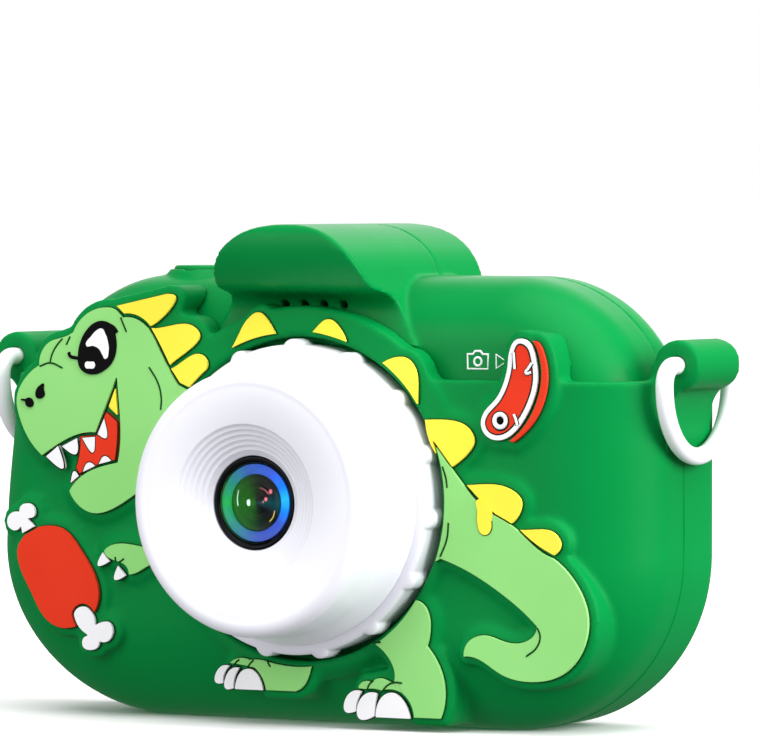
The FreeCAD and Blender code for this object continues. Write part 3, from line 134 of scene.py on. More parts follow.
def angle_ramp(material, place, centre, stops):
    """A colour ramp that runs once round the lens axis: 0 points to -X, 0.25 down, 0.5 to +X, 0.75 up."""
    shift = add_node(material, "ShaderNodeVectorMath", operation="SUBTRACT")
    shift.inputs[1].default_value = centre
    wire(material, place, "Object", shift, 0)
    parts = add_node(material, "ShaderNodeSeparateXYZ")
    wire(material, shift, "Vector", parts, "Vector")
    turn = add_node(material, "ShaderNodeMath", operation="ARCTAN2")
    wire(material, parts, "Z", turn, 0)
    wire(material, parts, "X", turn, 1)
    spread = add_node(material, "ShaderNodeMapRange")
    spread.inputs["From Min"].default_value = -math.pi
    spread.inputs["From Max"].default_value = math.pi
    wire(material, turn, "Value", spread, "Value")
    ramp = add_node(material, "ShaderNodeValToRGB")
    elements = ramp.color_ramp.elements
    elements[0].color = stops[0][1]
    elements[-1].color = stops[-1][1]
    for position, shade in stops[1:-1]:
        elements.new(position).color = shade
    wire(material, spread, "Result", ramp, "Fac")
    return ramp


def painted_reflection_glass(name, centre, stops, roughness, painted_glow):
    """Lens glass with painted reflections: a colour ramp round the lens axis paints the tints its coating
    reflects on each side, with a painted glow.
    """
    material, shader, place = new_material(name)
    ramp = angle_ramp(material, place, centre, stops)
    wire(material, ramp, "Color", shader, "Base Color")
    # Painted glow: the glass emits its painted reflection colours.
    wire(material, ramp, "Color", shader, "Emission Color")
    shader.inputs["Emission Strength"].default_value = painted_glow
    shader.inputs["Specular IOR Level"].default_value = 0.06
    shader.inputs["Coat Weight"].default_value = 0.04
    shader.inputs["Coat Roughness"].default_value = 0.03
    add_roughness(material, shader, place, roughness, roughness * 1.6, 400.0)
    add_grain(material, shader, place, 900.0, 1e-6)
    return material


def clear_glass(name):
    material, shader, place = new_material(name)
    shader.inputs["Base Color"].default_value = colour(250, 252, 255)
    shader.inputs["Transmission Weight"].default_value = 1.0
    shader.inputs["IOR"].default_value = 1.05
    shader.inputs["Specular IOR Level"].default_value = 0.1
    add_roughness(material, shader, place, 0.0, 0.02, 300.0)
    return material


def landscape(name, low, high):
    """The picture on the screen: sky, sun, two rows of hills and a meadow, lit from behind."""
    material, shader, place = new_material(name)
    size = high - low
    shift = add_node(material, "ShaderNodeVectorMath", operation="SUBTRACT")
    shift.inputs[1].default_value = low
    wire(material, place, "Object", shift, 0)
    fit = add_node(material, "ShaderNodeVectorMath", operation="DIVIDE")
    fit.inputs[1].default_value = size
    wire(material, shift, "Vector", fit, 0)
    parts = add_node(material, "ShaderNodeSeparateXYZ")
    wire(material, fit, "Vector", parts, "Vector")

    def layer(below, wave, height, swing, shade, rough):
        """Paint shade under a wavy line on top of what is below."""
        stretch = add_node(material, "ShaderNodeVectorMath", operation="MULTIPLY")
        stretch.inputs[1].default_value = (wave, 0.0, 0.0)
        wire(material, fit, "Vector", stretch, 0)
        noise = add_node(material, "ShaderNodeTexNoise", Scale=1.0, Detail=rough)
        wire(material, stretch, "Vector", noise, "Vector")
        line = add_node(material, "ShaderNodeMath", operation="MULTIPLY_ADD")
        line.inputs[1].default_value = swing
        line.inputs[2].default_value = height
        wire(material, noise, "Fac", line, 0)
        under = add_node(material, "ShaderNodeMath", operation="SUBTRACT")
        wire(material, line, "Value", under, 0)
        wire(material, parts, "Z", under, 1)
        edge = add_node(material, "ShaderNodeMapRange")
        edge.inputs["From Max"].default_value = 0.008
        wire(material, under, "Value", edge, "Value")
        mix = add_node(material, "ShaderNodeMixRGB")
        mix.inputs["Color2"].default_value = shade
        wire(material, edge, "Result", mix, "Fac")
        wire(material, below, "Color", mix, "Color1")
        return mix

    sky = add_node(material, "ShaderNodeValToRGB")
    sky.color_ramp.elements[0].position = 0.3
    sky.color_ramp.elements[0].color = colour(226, 240, 250)
    sky.color_ramp.elements[1].color = colour(64, 140, 220)
    wire(material, parts, "Z", sky, "Fac")
    away = add_node(material, "ShaderNodeVectorMath", operation="DISTANCE")
    away.inputs[1].default_value = Vector((0.28, 0.5, 0.78))
    flat = add_node(material, "ShaderNodeVectorMath", operation="MULTIPLY_ADD")
    flat.inputs[1].default_value = (1.0, 0.0, 0.75)
    flat.inputs[2].default_value = (0.0, 0.5, 0.195)
    wire(material, fit, "Vector", flat, 0)
    wire(material, flat, "Vector", away, 0)
    disc = add_node(material, "ShaderNodeMapRange")
    disc.inputs["From Min"].default_value = 0.085
    disc.inputs["From Max"].default_value = 0.075
    wire(material, away, "Value", disc, "Value")
    sun = add_node(material, "ShaderNodeMixRGB")
    sun.inputs["Color2"].default_value = colour(255, 226, 96)
    wire(material, disc, "Result", sun, "Fac")
    wire(material, sky, "Color", sun, "Color1")
    far = layer(sun, 4.0, 0.34, 0.34, colour(92, 140, 170), 3.0)
    near = layer(far, 2.5, 0.22, 0.26, colour(58, 128, 62), 1.0)
    meadow = layer(near, 1.6, 0.08, 0.2, colour(132, 190, 70), 0.5)
    wire(material, meadow, "Color", shader, "Base Color")
    wire(material, meadow, "Color", shader, "Emission Color")
    shader.inputs["Emission Strength"].default_value = 0.35
    shader.inputs["Coat Weight"].default_value = 1.0
    shader.inputs["Coat Roughness"].default_value = 0.04
    add_roughness(material, shader, place, 0.25, 0.35, 300.0)
    return material


LENS_CENTRE = Vector((0.0, 0.0, 29.67 * MM))
# Painted reflections round the lens axis: green on the left, blue and bright cyan on the right, a dark middle
# tinged green. GLINT_STOPS colour the painted glints.
BAND_REFLECTION_STOPS = [(0.0, colour(26, 150, 70)), (0.12, colour(40, 120, 112)), (0.26, colour(56, 78, 158)),
              (0.4, colour(52, 78, 176)), (0.46, colour(20, 120, 235)), (0.52, colour(30, 170, 255)),
              (0.58, colour(10, 110, 240)), (0.66, colour(50, 84, 190)), (0.8, colour(48, 84, 150)),
              (0.9, colour(34, 120, 104)), (1.0, colour(26, 150, 70))]
CORE_REFLECTION_STOPS = [(0.0, colour(22, 92, 16)), (0.16, colour(18, 76, 18)), (0.28, colour(6, 26, 14)),
              (0.4, colour(10, 6, 8)), (0.5, colour(4, 60, 66)), (0.6, colour(14, 6, 10)),
              (0.75, colour(14, 26, 10)), (0.9, colour(24, 82, 14)), (1.0, colour(22, 92, 16))]
RIM_REFLECTION_STOPS = [(0.0, colour(44, 98, 42)), (0.14, colour(10, 40, 20)), (0.3, colour(4, 6, 10)),
             (0.5, colour(8, 16, 56)), (0.7, colour(6, 10, 34)), (0.86, colour(10, 34, 18)),
             (1.0, colour(44, 98, 42))]
GLINT_STOPS = [(0.0, colour(210, 255, 235)), (0.2, colour(190, 220, 120)), (0.4, colour(230, 200, 90)),
               (0.55, colour(240, 120, 130)), (0.75, colour(60, 70, 60)), (1.0, colour(210, 255, 235))]

MATERIALS = {
    "silicone_green": plastic("silicone_green", colour(0, 126, 56), colour(0, 132, 62), 0.5, 2600.0, 3e-6,
                              specular=0.06),
    "body_green": plastic("body_green", colour(0, 126, 56), colour(0, 133, 62), 0.36, 2400.0, 4e-6,
                          specular=0.08),
    "skin_green": plastic("skin_green", colour(141, 212, 120), colour(149, 219, 129), 0.52, 2600.0, 3e-6,
                          specular=0.05),
    "spike_yellow": plastic("spike_yellow", colour(253, 228, 66), colour(255, 236, 80), 0.5, 2600.0, 3e-6,
                            specular=0.05),
    "meat_red": plastic("meat_red", colour(222, 52, 28), colour(232, 62, 36), 0.5, 2600.0, 3e-6,
                        specular=0.05),
    "picture_white": plastic("picture_white", colour(242, 242, 246), colour(250, 250, 252), 0.5, 2600.0, 3e-6,
                             specular=0.1),
    "picture_black": plastic("picture_black", colour(2, 2, 4), colour(4, 4, 6), 0.45, 2600.0, 3e-6,
                             specular=0.05),
    # Painted shade: the dark green of lines drawn in grooves, creases and at the foot of patches.
    "groove_painted_shade": plastic("groove_painted_shade", colour(4, 56, 18), colour(10, 68, 24), 0.6, 2600.0, 3e-6,
                            specular=0.1),
    "outline_dark": plastic("outline_dark", colour(22, 26, 12), colour(34, 36, 16), 0.6, 2600.0, 3e-6,
                            specular=0.1),
    "lens_white": plastic("lens_white", colour(236, 236, 246), colour(241, 241, 250), 0.3, 1800.0, 1e-6),
    "key_white": plastic("key_white", colour(240, 240, 246), colour(246, 246, 250), 0.28, 1800.0, 1e-6),
    "ring_white": plastic("ring_white", colour(238, 240, 244), colour(246, 247, 250), 0.25, 1800.0, 1e-6),
    "black_gloss": plastic("black_gloss", colour(5, 6, 9), colour(10, 11, 15), 0.12, 1200.0, 5e-7,
                           specular=0.08),
    "circuit_board": plastic("circuit_board", colour(16, 88, 52), colour(24, 104, 60), 0.4, 700.0, 1e-5),
    "module_grey": plastic("module_grey", colour(70, 72, 76), colour(88, 90, 94), 0.45),
    "battery_foil": metal("battery_foil", colour(176, 180, 186), colour(200, 202, 206), 0.4),
    "connector_steel": metal("connector_steel", colour(186, 188, 190), colour(206, 206, 208), 0.25),
    "screw_steel": metal("screw_steel", colour(160, 162, 166), colour(186, 188, 190), 0.3),
    "screen_clear": landscape("screen_clear", *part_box("screen_window")),
    # Painted reflections and painted glints on the lens glass, each glowing a little.
    "band_painted_reflection": painted_reflection_glass("band_painted_reflection", LENS_CENTRE, BAND_REFLECTION_STOPS, 0.12, 0.25),
    "core_painted_reflection": painted_reflection_glass("core_painted_reflection", LENS_CENTRE, CORE_REFLECTION_STOPS, 0.08, 0.15),
    "rim_painted_reflection": painted_reflection_glass("rim_painted_reflection", LENS_CENTRE, RIM_REFLECTION_STOPS, 0.2, 0.1),
    "painted_glint": painted_reflection_glass("painted_glint", LENS_CENTRE, GLINT_STOPS, 0.1, 0.35),
    "lens_glass": clear_glass("lens_glass"),
}


def paint(piece, name):
    piece.data.materials.clear()
    piece.data.materials.append(MATERIALS[name])


# ---------------------------------------------------------------- making pieces

def place_piece(piece, slot, material=None, body="camera", stands_for=()):
    """Give a new piece its material (the slot's name when no material is named), put it on its body, and hide
    the CAD nodes it stands for.
    """
    paint(piece, material or slot)
    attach(piece, body)
    if stands_for:
        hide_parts(*stands_for)
    return piece


def link(name, data):
    piece = bpy.data.objects.new(name, data)
    bpy.context.scene.collection.objects.link(piece)
    return piece


def mesh_piece(name, shape):
    """Turn a finished bmesh into a piece."""
    mesh = bpy.data.meshes.new(name)
    shape.to_mesh(mesh)
    shape.free()
    return link(name, mesh)


def curve_mesh(name, data):
    """The plain mesh of a curve."""
    piece = link(name, data)
    mesh = bpy.data.meshes.new_from_object(piece.evaluated_get(bpy.context.evaluated_depsgraph_get()))
    bpy.data.objects.remove(piece)
    return mesh


def whole_copy(name, *sources):
    """A new piece with the shape of CAD nodes, their split corners merged."""
    shape = bmesh.new()
    for source in sources:
        shape.from_mesh(nodes[source].data)
    bmesh.ops.remove_doubles(shape, verts=shape.verts, dist=1e-6)
    bmesh.ops.recalc_face_normals(shape, faces=shape.faces)
    for layer in list(shape.loops.layers.uv.values()):
        shape.loops.layers.uv.remove(layer)
    piece = mesh_piece(name, shape)
    attributes = piece.data.attributes
    if "custom_normal" in attributes:
        attributes.remove(attributes["custom_normal"])
    return piece


def apply_modifiers(piece):
    """Turn a piece and its modifiers into one plain mesh."""
    scene = bpy.context.evaluated_depsgraph_get()
    mesh = bpy.data.meshes.new_from_object(piece.evaluated_get(scene))
    piece.modifiers.clear()
    piece.data = mesh
    return piece


def moulded(name, source, voxel, passes):
    """A CAD node's shape with every edge and inside corner softened, as moulding leaves them."""
    piece = whole_copy(name, source)
    remesh = piece.modifiers.new("remesh", "REMESH")
    remesh.mode = "VOXEL"
    remesh.voxel_size = voxel
    remesh.use_smooth_shade = True
    smooth = piece.modifiers.new("smooth", "SMOOTH")
    smooth.factor = 0.5
    smooth.iterations = passes
    return apply_modifiers(piece)


def softened(name, source, width, segments=3, angle=40.0):
    """A CAD node's shape with its sharp edges rounded to width."""
    piece = whole_copy(name, source)
    for polygon in piece.data.polygons:
        polygon.use_smooth = True
    bevel = piece.modifiers.new("bevel", "BEVEL")
    bevel.width = width
    bevel.segments = segments
    bevel.limit_method = "ANGLE"
    bevel.angle_limit = math.radians(angle)
    bevel.harden_normals = True
    return apply_modifiers(piece)


def turned(name, profile, centre, segments=180, swell=None):
    """A closed profile of (radius, y) points in millimetres turned round an axis along Y through centre."""
    shape = bmesh.new()
    rings = []
    for radius, y in profile:
        ring = []
        for index in range(segments):
            turn = 2 * math.pi * index / segments
            reach = (radius + (swell(turn, radius, y) if swell else 0.0)) * MM
            ring.append(shape.verts.new((centre.x + reach * math.cos(turn), y * MM,
                                         centre.z + reach * math.sin(turn))))
        rings.append(ring)
    for first, second in zip(rings, rings[1:] + rings[:1]):
        for index in range(segments):
            after = (index + 1) % segments
            shape.faces.new((first[index], first[after], second[after], second[index]))
    bmesh.ops.remove_doubles(shape, verts=shape.verts, dist=1e-7)
    bmesh.ops.recalc_face_normals(shape, faces=shape.faces)
    for face in shape.faces:
        face.smooth = True
    return mesh_piece(name, shape)


def rounded(corners, steps=4):
    """A closed profile of (radius, y, round) corners with each corner turned into an arc-like curve."""
    points = []
    count = len(corners)
    for index, (x, y, soft) in enumerate(corners):
        here = Vector((x, y))
        if soft == 0:
            points.append((x, y))
            continue
        before = Vector(corners[index - 1][:2]) - here
        after = Vector(corners[(index + 1) % count][:2]) - here
        start = here + before.normalized() * min(soft, before.length / 2)
        end = here + after.normalized() * min(soft, after.length / 2)
        for step in range(steps + 1):
            share = step / steps
            point = start.lerp(here, share).lerp(here.lerp(end, share), share)
            points.append((point.x, point.y))
    return points


def wire_piece(name, lines, radius, y=None, closed=False):
    """Thin round lines in millimetres: (x, z) points at one y, or (x, y, z) points."""
    data = bpy.data.curves.new(name, "CURVE")
    data.dimensions = "3D"
    data.bevel_depth = radius * MM
    data.bevel_resolution = 1 if closed else 2
    data.use_fill_caps = True
    for points in lines:
        spline = data.splines.new("BEZIER")
        spline.bezier_points.add(len(points) - 1)
        for knot, point in zip(spline.bezier_points, points):
            place = point if y is None else (point[0], y, point[1])
            knot.co = Vector(place) * MM
            knot.handle_left_type = "VECTOR" if closed else "AUTO"
            knot.handle_right_type = knot.handle_left_type
        spline.use_cyclic_u = closed
        spline.resolution_u = 1 if closed else 8
    mesh = curve_mesh(name, data)
    for polygon in mesh.polygons:
        polygon.use_smooth = True
    return link(name, mesh)


def face_outlines(node):
    """The closed outlines of a patch's front face, as lists of (x, z) points in millimetres."""
    shape = bmesh.new()
    shape.from_mesh(nodes[node].data)
    bmesh.ops.remove_doubles(shape, verts=shape.verts, dist=1e-6)
    front = min(corner.co.y for corner in shape.verts)
    neighbours = {}
    for edge in shape.edges:
        flat = all(abs(corner.co.y - front) < 1e-5 for corner in edge.verts)
        if flat and sum(face.normal.y < -0.9 for face in edge.link_faces) == 1:
            for here, there in (edge.verts, reversed(edge.verts)):
                neighbours.setdefault(here.index, []).append(there.index)
    shape.verts.ensure_lookup_table()
    loops = []
    unused = set(neighbours)
    while unused:
        here = min(unused)
        loop = []
        while here is not None:
            unused.discard(here)
            loop.append(here)
            here = next((other for other in neighbours[here] if other in unused), None)
        loops.append([(shape.verts[index].co.x / MM, shape.verts[index].co.z / MM) for index in loop])
    shape.free()
    return loops


def plate_piece(name, shapes, front, back):
    """Flat plates in millimetres: each a smooth closed outline of (x, z) points, from y front to y back."""
    data = bpy.data.curves.new(name, "CURVE")
    data.dimensions = "2D"
    data.fill_mode = "BOTH"
    data.extrude = (back - front) / 2 * MM
    data.bevel_depth = 0.0
    for points in shapes:
        spline = data.splines.new("BEZIER")
        spline.bezier_points.add(len(points) - 1)
        for knot, (x, z) in zip(spline.bezier_points, points):
            knot.co = Vector((x, z, 0.0)) * MM
            knot.handle_left_type = "AUTO"
            knot.handle_right_type = "AUTO"
        spline.use_cyclic_u = True
        spline.resolution_u = 6
    mesh = curve_mesh(name, data)
    upright = Matrix.Rotation(math.pi / 2, 4, "X")
    mesh.transform(Matrix.Translation((0.0, (front + back) / 2 * MM, 0.0)) @ upright)
    return link(name, mesh)


# ---------------------------------------------------------------- sleeve and shells

SLEEVE_HALF_WIDTH = 48.7
SLEEVE_CORNER = 22.7
SLEEVE_TOP = 45.5
# The strap below the right lug, seen from the front: it curves in from the barrel to the sleeve's side.
STRAP_OUTLINE = [(48.3, 36.2), (48.95, 37.5), (49.1, 40.5), (49.5, 42.5), (50.6, 44.2), (52.4, 45.5),
                 (53.0, 46.8), (50.5, 47.2), (48.3, 46.5)]


def sleeve_edge(y, out=0.0, steps=16):
    """The sleeve's outline at one y, from one top end round the bottom to the other, as (x, y, z) points."""
    half = SLEEVE_HALF_WIDTH + out
    inner = SLEEVE_HALF_WIDTH - SLEEVE_CORNER
    right = [(half, y, SLEEVE_TOP - 0.5), (half, y, 34.0)]
    for step in range(steps + 1):
        turn = math.pi / 2 * step / steps
        reach = SLEEVE_CORNER + out
        right.append((inner + reach * math.cos(turn), y, SLEEVE_CORNER - reach * math.sin(turn)))
    return right + [(-x, y, z) for x, y, z in reversed(right)]


def make_sleeve():
    """The silicone skin, its faint mould line, and the straps below the lugs."""
    skin = moulded("sleeve_skin", "silicone_sleeve", 0.36 * MM, 6)
    place_piece(skin, "silicone_green", stands_for=["silicone_sleeve"])
    place_piece(wire_piece("mould_line", [sleeve_edge(-1.25, 0.0)], 0.09), "silicone_green")
    for name, side in (("left_pad", -1), ("right_pad", 1)):
        shape = [(side * x, z) for x, z in STRAP_OUTLINE]
        pad = plate_piece(name, [shape], -6.3, 5.3)
        bevel = pad.modifiers.new("bevel", "BEVEL")
        bevel.width = 0.3 * MM
        bevel.segments = 3
        place_piece(apply_modifiers(pad), "silicone_green")


def make_shells():
    """Both halves of the hard case, and the camera sign printed on the front one."""
    front = moulded("front_case", "front_shell", 0.3 * MM, 4)
    place_piece(front, "body_green", stands_for=["front_shell"])
    rear = moulded("rear_case", "rear_shell", 0.3 * MM, 4)
    place_piece(rear, "body_green", stands_for=["rear_shell"])

    frame_line = [(23.0, 46.9), (26.0, 46.9), (26.0, 48.8), (25.2, 48.8), (24.9, 49.2), (24.1, 49.2),
                  (23.8, 48.8), (23.0, 48.8)]
    lens_line = [(24.5 + 0.55 * math.cos(math.pi * step / 6), 47.85 + 0.55 * math.sin(math.pi * step / 6))
                 for step in range(12)]
    play_line = [(27.2, 47.0), (28.7, 47.9), (27.2, 48.8)]
    sign = wire_piece("camera_sign", [frame_line, lens_line, play_line], 0.17, -12.15, closed=True)
    place_piece(sign, "picture_white")


# ---------------------------------------------------------------- raised picture

PATCH_FINISH = {
    "dino_head": "skin_green", "dino_body_tail": "skin_green", "dino_limbs": "skin_green",
    "dino_mouth": "meat_red", "dino_mouth_corner": "spike_yellow", "dino_teeth": "picture_white",
    "dino_claws": "picture_white", "head_spikes": "spike_yellow", "lens_spikes": "spike_yellow",
    "back_spikes": "spike_yellow", "drumstick_meat": "meat_red", "drumstick_bones": "picture_white",
    "steak_rim": "picture_white", "steak_meat": "meat_red", "steak_side": "meat_red",
}


FINE_PATCHES = ("dino_teeth", "dino_claws", "steak_rim")
DARK_OUTLINED = ("dino_teeth", "dino_claws", "dino_mouth", "steak_meat")


def make_patches():
    """The coloured patches with soft edges, and a dark line where each one meets the ground. The dark green
    lines are painted shade at the foot of each step; the teeth, claws, mouth and steak meat get near-black
    lines.
    """
    for node, finish in PATCH_FINISH.items():
        width = 0.12 if node in FINE_PATCHES else 0.2
        place_piece(softened(node + "_patch", node, width * MM), finish, stands_for=[node])
        # Dark green lines are painted shade where a patch steps down to the ground.
        line = "outline_dark" if node in DARK_OUTLINED else "groove_painted_shade"
        low = -16.33 if node in ("dino_teeth", "dino_mouth", "steak_meat") else -15.85
        radius = 0.11 if low < -16.0 else 0.15
        piece = wire_piece(node + "_outline", face_outlines(node), radius, low, closed=True)
        place_piece(piece, "picture_black", line)


def make_creases():
    """Engraved lines on the dinosaur, drawn as thin dark green lines: painted shade of the grooves."""
    lines = [
        [(-38.2, 46.9), (-37.8, 48.2), (-37.0, 49.4), (-36.2, 50.2)],
        [(-39.8, 46.5), (-38.1, 46.95), (-36.2, 46.3)],
        [(-35.6, 49.4), (-35.0, 50.5)],
        [(-27.1, 53.1), (-26.2, 51.2)],
        [(-22.7, 46.6), (-21.3, 44.5), (-20.8, 42.5), (-20.9, 41.0)],
        [(-28.0, 21.4), (-27.9, 20.8)],
        [(-27.4, 20.7), (-26.6, 21.2)],
        [(35.5, 14.1), (35.9, 13.0), (35.4, 11.6), (33.9, 10.4)],
        [(21.6, 34.4), (22.1, 33.0), (22.3, 31.7)],
        [(22.5, 27.2), (22.3, 25.2), (21.3, 22.8)],
        [(11.4, 11.4), (12.5, 11.5)],
        [(-8.85, 8.5), (-9.35, 8.1), (-9.75, 7.6)],
        [(-6.65, 8.5), (-7.2, 8.0), (-7.6, 7.5)],
        [(-4.6, 8.6), (-4.45, 8.2), (-4.1, 7.7)],
        [(11.4, 6.5), (10.75, 5.9), (10.4, 5.1)],
        [(15.65, 6.3), (14.6, 6.35), (13.6, 6.0), (12.5, 4.9)],
    ]
    creases = wire_piece("skin_creases", lines, 0.14, PICTURE_FACE + 0.03)
    place_piece(creases, "skin_green", "groove_painted_shade")


def make_face():
    """Eye and nostrils: black shapes with lashes, a white crescent and a small bright spot."""
    face = PICTURE_FACE
    black = [
        [(-33.7, 47.9), (-33.3, 49.8), (-32.3, 51.4), (-31.0, 52.4), (-29.6, 52.6), (-28.3, 51.9),
         (-27.8, 50.4), (-27.75, 48.9), (-28.3, 47.3), (-29.6, 46.1), (-31.4, 45.5), (-32.9, 45.9),
         (-33.6, 46.8)],
    ]
    ball = plate_piece("eye_black", black, face - 0.2, face + 0.1)
    place_piece(ball, "picture_black", stands_for=["dino_eye"])
    lashes = [[(-33.4, 47.6), (-34.3, 47.7), (-35.0, 47.9), (-35.2, 48.4)],
              [(-29.2, 52.2), (-28.4, 51.9), (-27.9, 51.5), (-27.65, 51.1)]]
    place_piece(wire_piece("eye_lashes", lashes, 0.24, face), "picture_black")
    white = [
        [(-32.3, 49.35), (-31.5, 50.6), (-30.6, 51.4), (-29.9, 51.6), (-29.35, 50.9), (-28.95, 49.8),
         (-28.85, 48.6), (-29.3, 47.6), (-29.75, 48.1), (-30.3, 48.9), (-31.2, 49.3)],
        [(-32.4, 46.4), (-32.4, 47.1), (-31.75, 47.2), (-31.1, 47.1), (-31.1, 46.4), (-31.75, 46.3)],
    ]
    place_piece(plate_piece("eye_white", white, face - 0.3, face - 0.1), "picture_white",
                stands_for=["dino_eye_white"])
    nostrils = [
        [(-40.4, 42.8), (-40.1, 43.6), (-39.6, 44.0), (-39.2, 44.2), (-39.15, 43.5), (-39.0, 42.7),
         (-39.6, 42.2), (-40.2, 42.3)],
        [(-42.7, 42.0), (-42.0, 42.1), (-41.5, 42.3), (-40.9, 42.0), (-40.8, 41.3), (-41.3, 41.0),
         (-41.9, 41.3), (-42.1, 41.8)],
    ]
    place_piece(plate_piece("nostrils_black", nostrils, face - 0.2, face + 0.1), "picture_black",
                stands_for=["dino_nostrils"])


def make_steak():
    """The steak's bone as a white ring with a dark middle, and its white fat notches."""
    face = PICTURE_FACE
    bone = Vector((30.05, 0.0, 40.45)) * MM
    white = [(1.13, face), (1.05, face - 0.12), (0.62, face - 0.12), (0.54, face), (0.54, face + 0.5),
             (1.13, face + 0.5)]
    place_piece(turned("bone_ring", white, bone, 48), "picture_white", stands_for=["steak_bone"])
    dark = [(0.0, face + 0.02), (0.5, face + 0.02), (0.5, face + 0.4), (0.0, face + 0.4)]
    place_piece(turned("bone_middle", dark, bone, 48), "picture_black")
    edge = [(1.33, face + 0.05), (1.24, face - 0.06), (1.15, face + 0.05), (1.15, face + 0.3),
            (1.33, face + 0.3)]
    place_piece(turned("bone_outline", edge, bone, 48), "picture_black", "outline_dark")
    notches = [[(32.05, 49.2), (32.15, 48.0), (32.2, 47.1)],
               [(34.7, 47.9), (34.2, 47.2), (33.85, 46.6), (34.6, 46.7)],
               [(32.6, 39.9), (32.4, 40.6), (32.1, 41.3)]]
    place_piece(wire_piece("notch_outlines", notches, 0.4, face + 0.24), "picture_black", "outline_dark")
    place_piece(wire_piece("fat_notches", notches, 0.22, face + 0.02), "picture_white")


def make_drip():
    """The short yellow tongue below the middle back spike."""
    face = PICTURE_FACE
    tongue = [(26.85, 30.3), (26.8, 28.8), (26.85, 27.0), (27.3, 26.0), (28.1, 25.8), (28.75, 26.4),
              (28.85, 27.6), (28.8, 28.9)]
    place_piece(plate_piece("spike_drip", [tongue], face - 0.12, face + 0.1), "spike_yellow")
    # The dark green line round the tongue is painted shade at its edge.
    place_piece(wire_piece("drip_outline", [tongue[:-1]], 0.12, face + 0.02), "picture_black", "groove_painted_shade")


# ---------------------------------------------------------------- lens

def make_lens():
    centre = LENS_CENTRE

    def nubs(turn, radius, y):
        """Fifteen rounded nubs along the front of the ring's side."""
        if radius < 20.0:
            return 0.0
        step = 2 * math.pi / 15
        off = (turn - math.pi / 2 + step / 2) % step - step / 2
        across = off * 20.2 / 1.25
        along = max(0.0, min(1.0, (y + 18.2) / 0.7, (-13.8 - y) / 1.2))
        hump = max(0.0, 1.0 - across * across)
        return 0.75 * hump ** 0.7 * math.sin(along * math.pi / 2)

    side = [(20.2, y) for y in (-17.6, -17.3, -17.0, -16.6, -16.2, -15.8, -15.4, -15.0, -14.6, -14.3,
                                -14.0, -13.8, -13.4)]
    ring = [(15.6, -18.1), (19.5, -18.2), (19.9, -18.05), (20.12, -17.85), *side, (20.2, -12.3),
            (15.6, -12.3)]
    place_piece(turned("ring_turned", ring, centre, 720, nubs), "lens_white", stands_for=["lens_ring"])

    # The dish in the cap's face goes down in six round steps to the lens.
    dish = []
    for index in range(6):
        radius = 6.15 + 0.68 * (6 - index)
        level = -30.0 + 0.4 * index
        dish += [(radius + 0.1, level, 0.0), (radius, level + 0.06, 0.0), (radius - 0.05, level + 0.36, 0.0)]
    wall = rounded([(17.4, -30.0, 2.6), (17.42, -21.6, 1.2), (18.9, -18.9, 0.5), (18.9, -18.2, 0.0),
                    (15.7, -18.2, 0.0), (15.7, -28.3, 0.0), (11.9, -28.3, 0.0), (11.9, -25.9, 0.0),
                    (6.15, -25.9, 0.0), (6.15, -27.55, 0.0)], 10)
    steps = [(radius, level) for radius, level, _ in reversed(dish)]
    place_piece(turned("cap_turned", wall + steps, centre, 360), "lens_white", stands_for=["lens_cap"])

    bezel = [(6.08, -27.2), (5.95, -27.42), (5.6, -27.42), (5.32, -27.15), (5.3, -26.3), (4.75, -26.3),
             (4.7, -14.3), (6.08, -14.3)]
    place_piece(turned("bezel_turned", bezel, centre, 120), "black_gloss", stands_for=["lens_bezel"])


def make_lens_glass():
    """Domed front glass over painted reflections: a rim, a bright band and a dark middle with fine rings, and
    painted glints.
    """
    centre = LENS_CENTRE
    glass = [(0.0, -27.5), (1.5, -27.48), (3.0, -27.4), (4.2, -27.28), (5.25, -27.1), (5.25, -27.05),
             (0.0, -27.05)]
    place_piece(turned("glass_dome", glass, centre, 96), "lens_glass", stands_for=["lens_glass"])
    # The rim, band and core carry painted reflections of the lens coatings.
    rim = [(5.3, -27.04), (5.0, -26.9), (5.0, -26.4), (5.3, -26.4)]
    place_piece(turned("rim_reflection_ring", rim, centre, 96), "lens_glass", "rim_painted_reflection")
    band = [(5.0, -26.98), (4.95, -27.0), (3.75, -26.85), (3.7, -26.8), (3.7, -26.4), (5.0, -26.4)]
    place_piece(turned("band_reflection_ring", band, centre, 96), "lens_glass", "band_painted_reflection")
    core = [(3.7, -26.75), (3.4, -26.6), (2.5, -26.5), (2.45, -26.58), (2.35, -26.58), (2.3, -26.5),
            (1.95, -26.4), (1.9, -26.5), (1.8, -26.5), (1.75, -26.4), (1.4, -26.4), (1.35, -26.6),
            (0.9, -26.75), (0.4, -26.82), (0.0, -26.84), (0.0, -26.2), (3.7, -26.2)]
    place_piece(turned("core_reflection_disc", core, centre, 96), "lens_glass", "core_painted_reflection")
    # Painted glints: thin arcs and small spots of glowing colour behind the glass.
    arcs = [[(-2.75, 31.2), (-2.95, 30.2), (-2.85, 29.2)], [(2.6, 28.7), (2.35, 27.9), (1.85, 27.3)],
            [(0.3, 31.6), (1.1, 31.35), (1.7, 30.8)]]
    place_piece(wire_piece("arc_glints", arcs, 0.05, -26.6), "lens_glass", "painted_glint")
    spots = [(-1.2, 29.65, 0.34), (-0.45, 29.5, 0.18), (0.8, 29.75, 0.3), (1.3, 30.15, 0.2),
             (2.0, 31.15, 0.24)]
    shape = bmesh.new()
    for x, z, radius in spots:
        shift = Matrix.Translation(Vector((x, -26.62, z)) * MM)
        squash = Matrix.Diagonal((radius * MM, 0.14 * MM, radius * 1.3 * MM, 1.0))
        bmesh.ops.create_uvsphere(shape, u_segments=16, v_segments=8, radius=1.0, matrix=shift @ squash)
    place_piece(mesh_piece("spot_glints", shape), "lens_glass", "painted_glint")


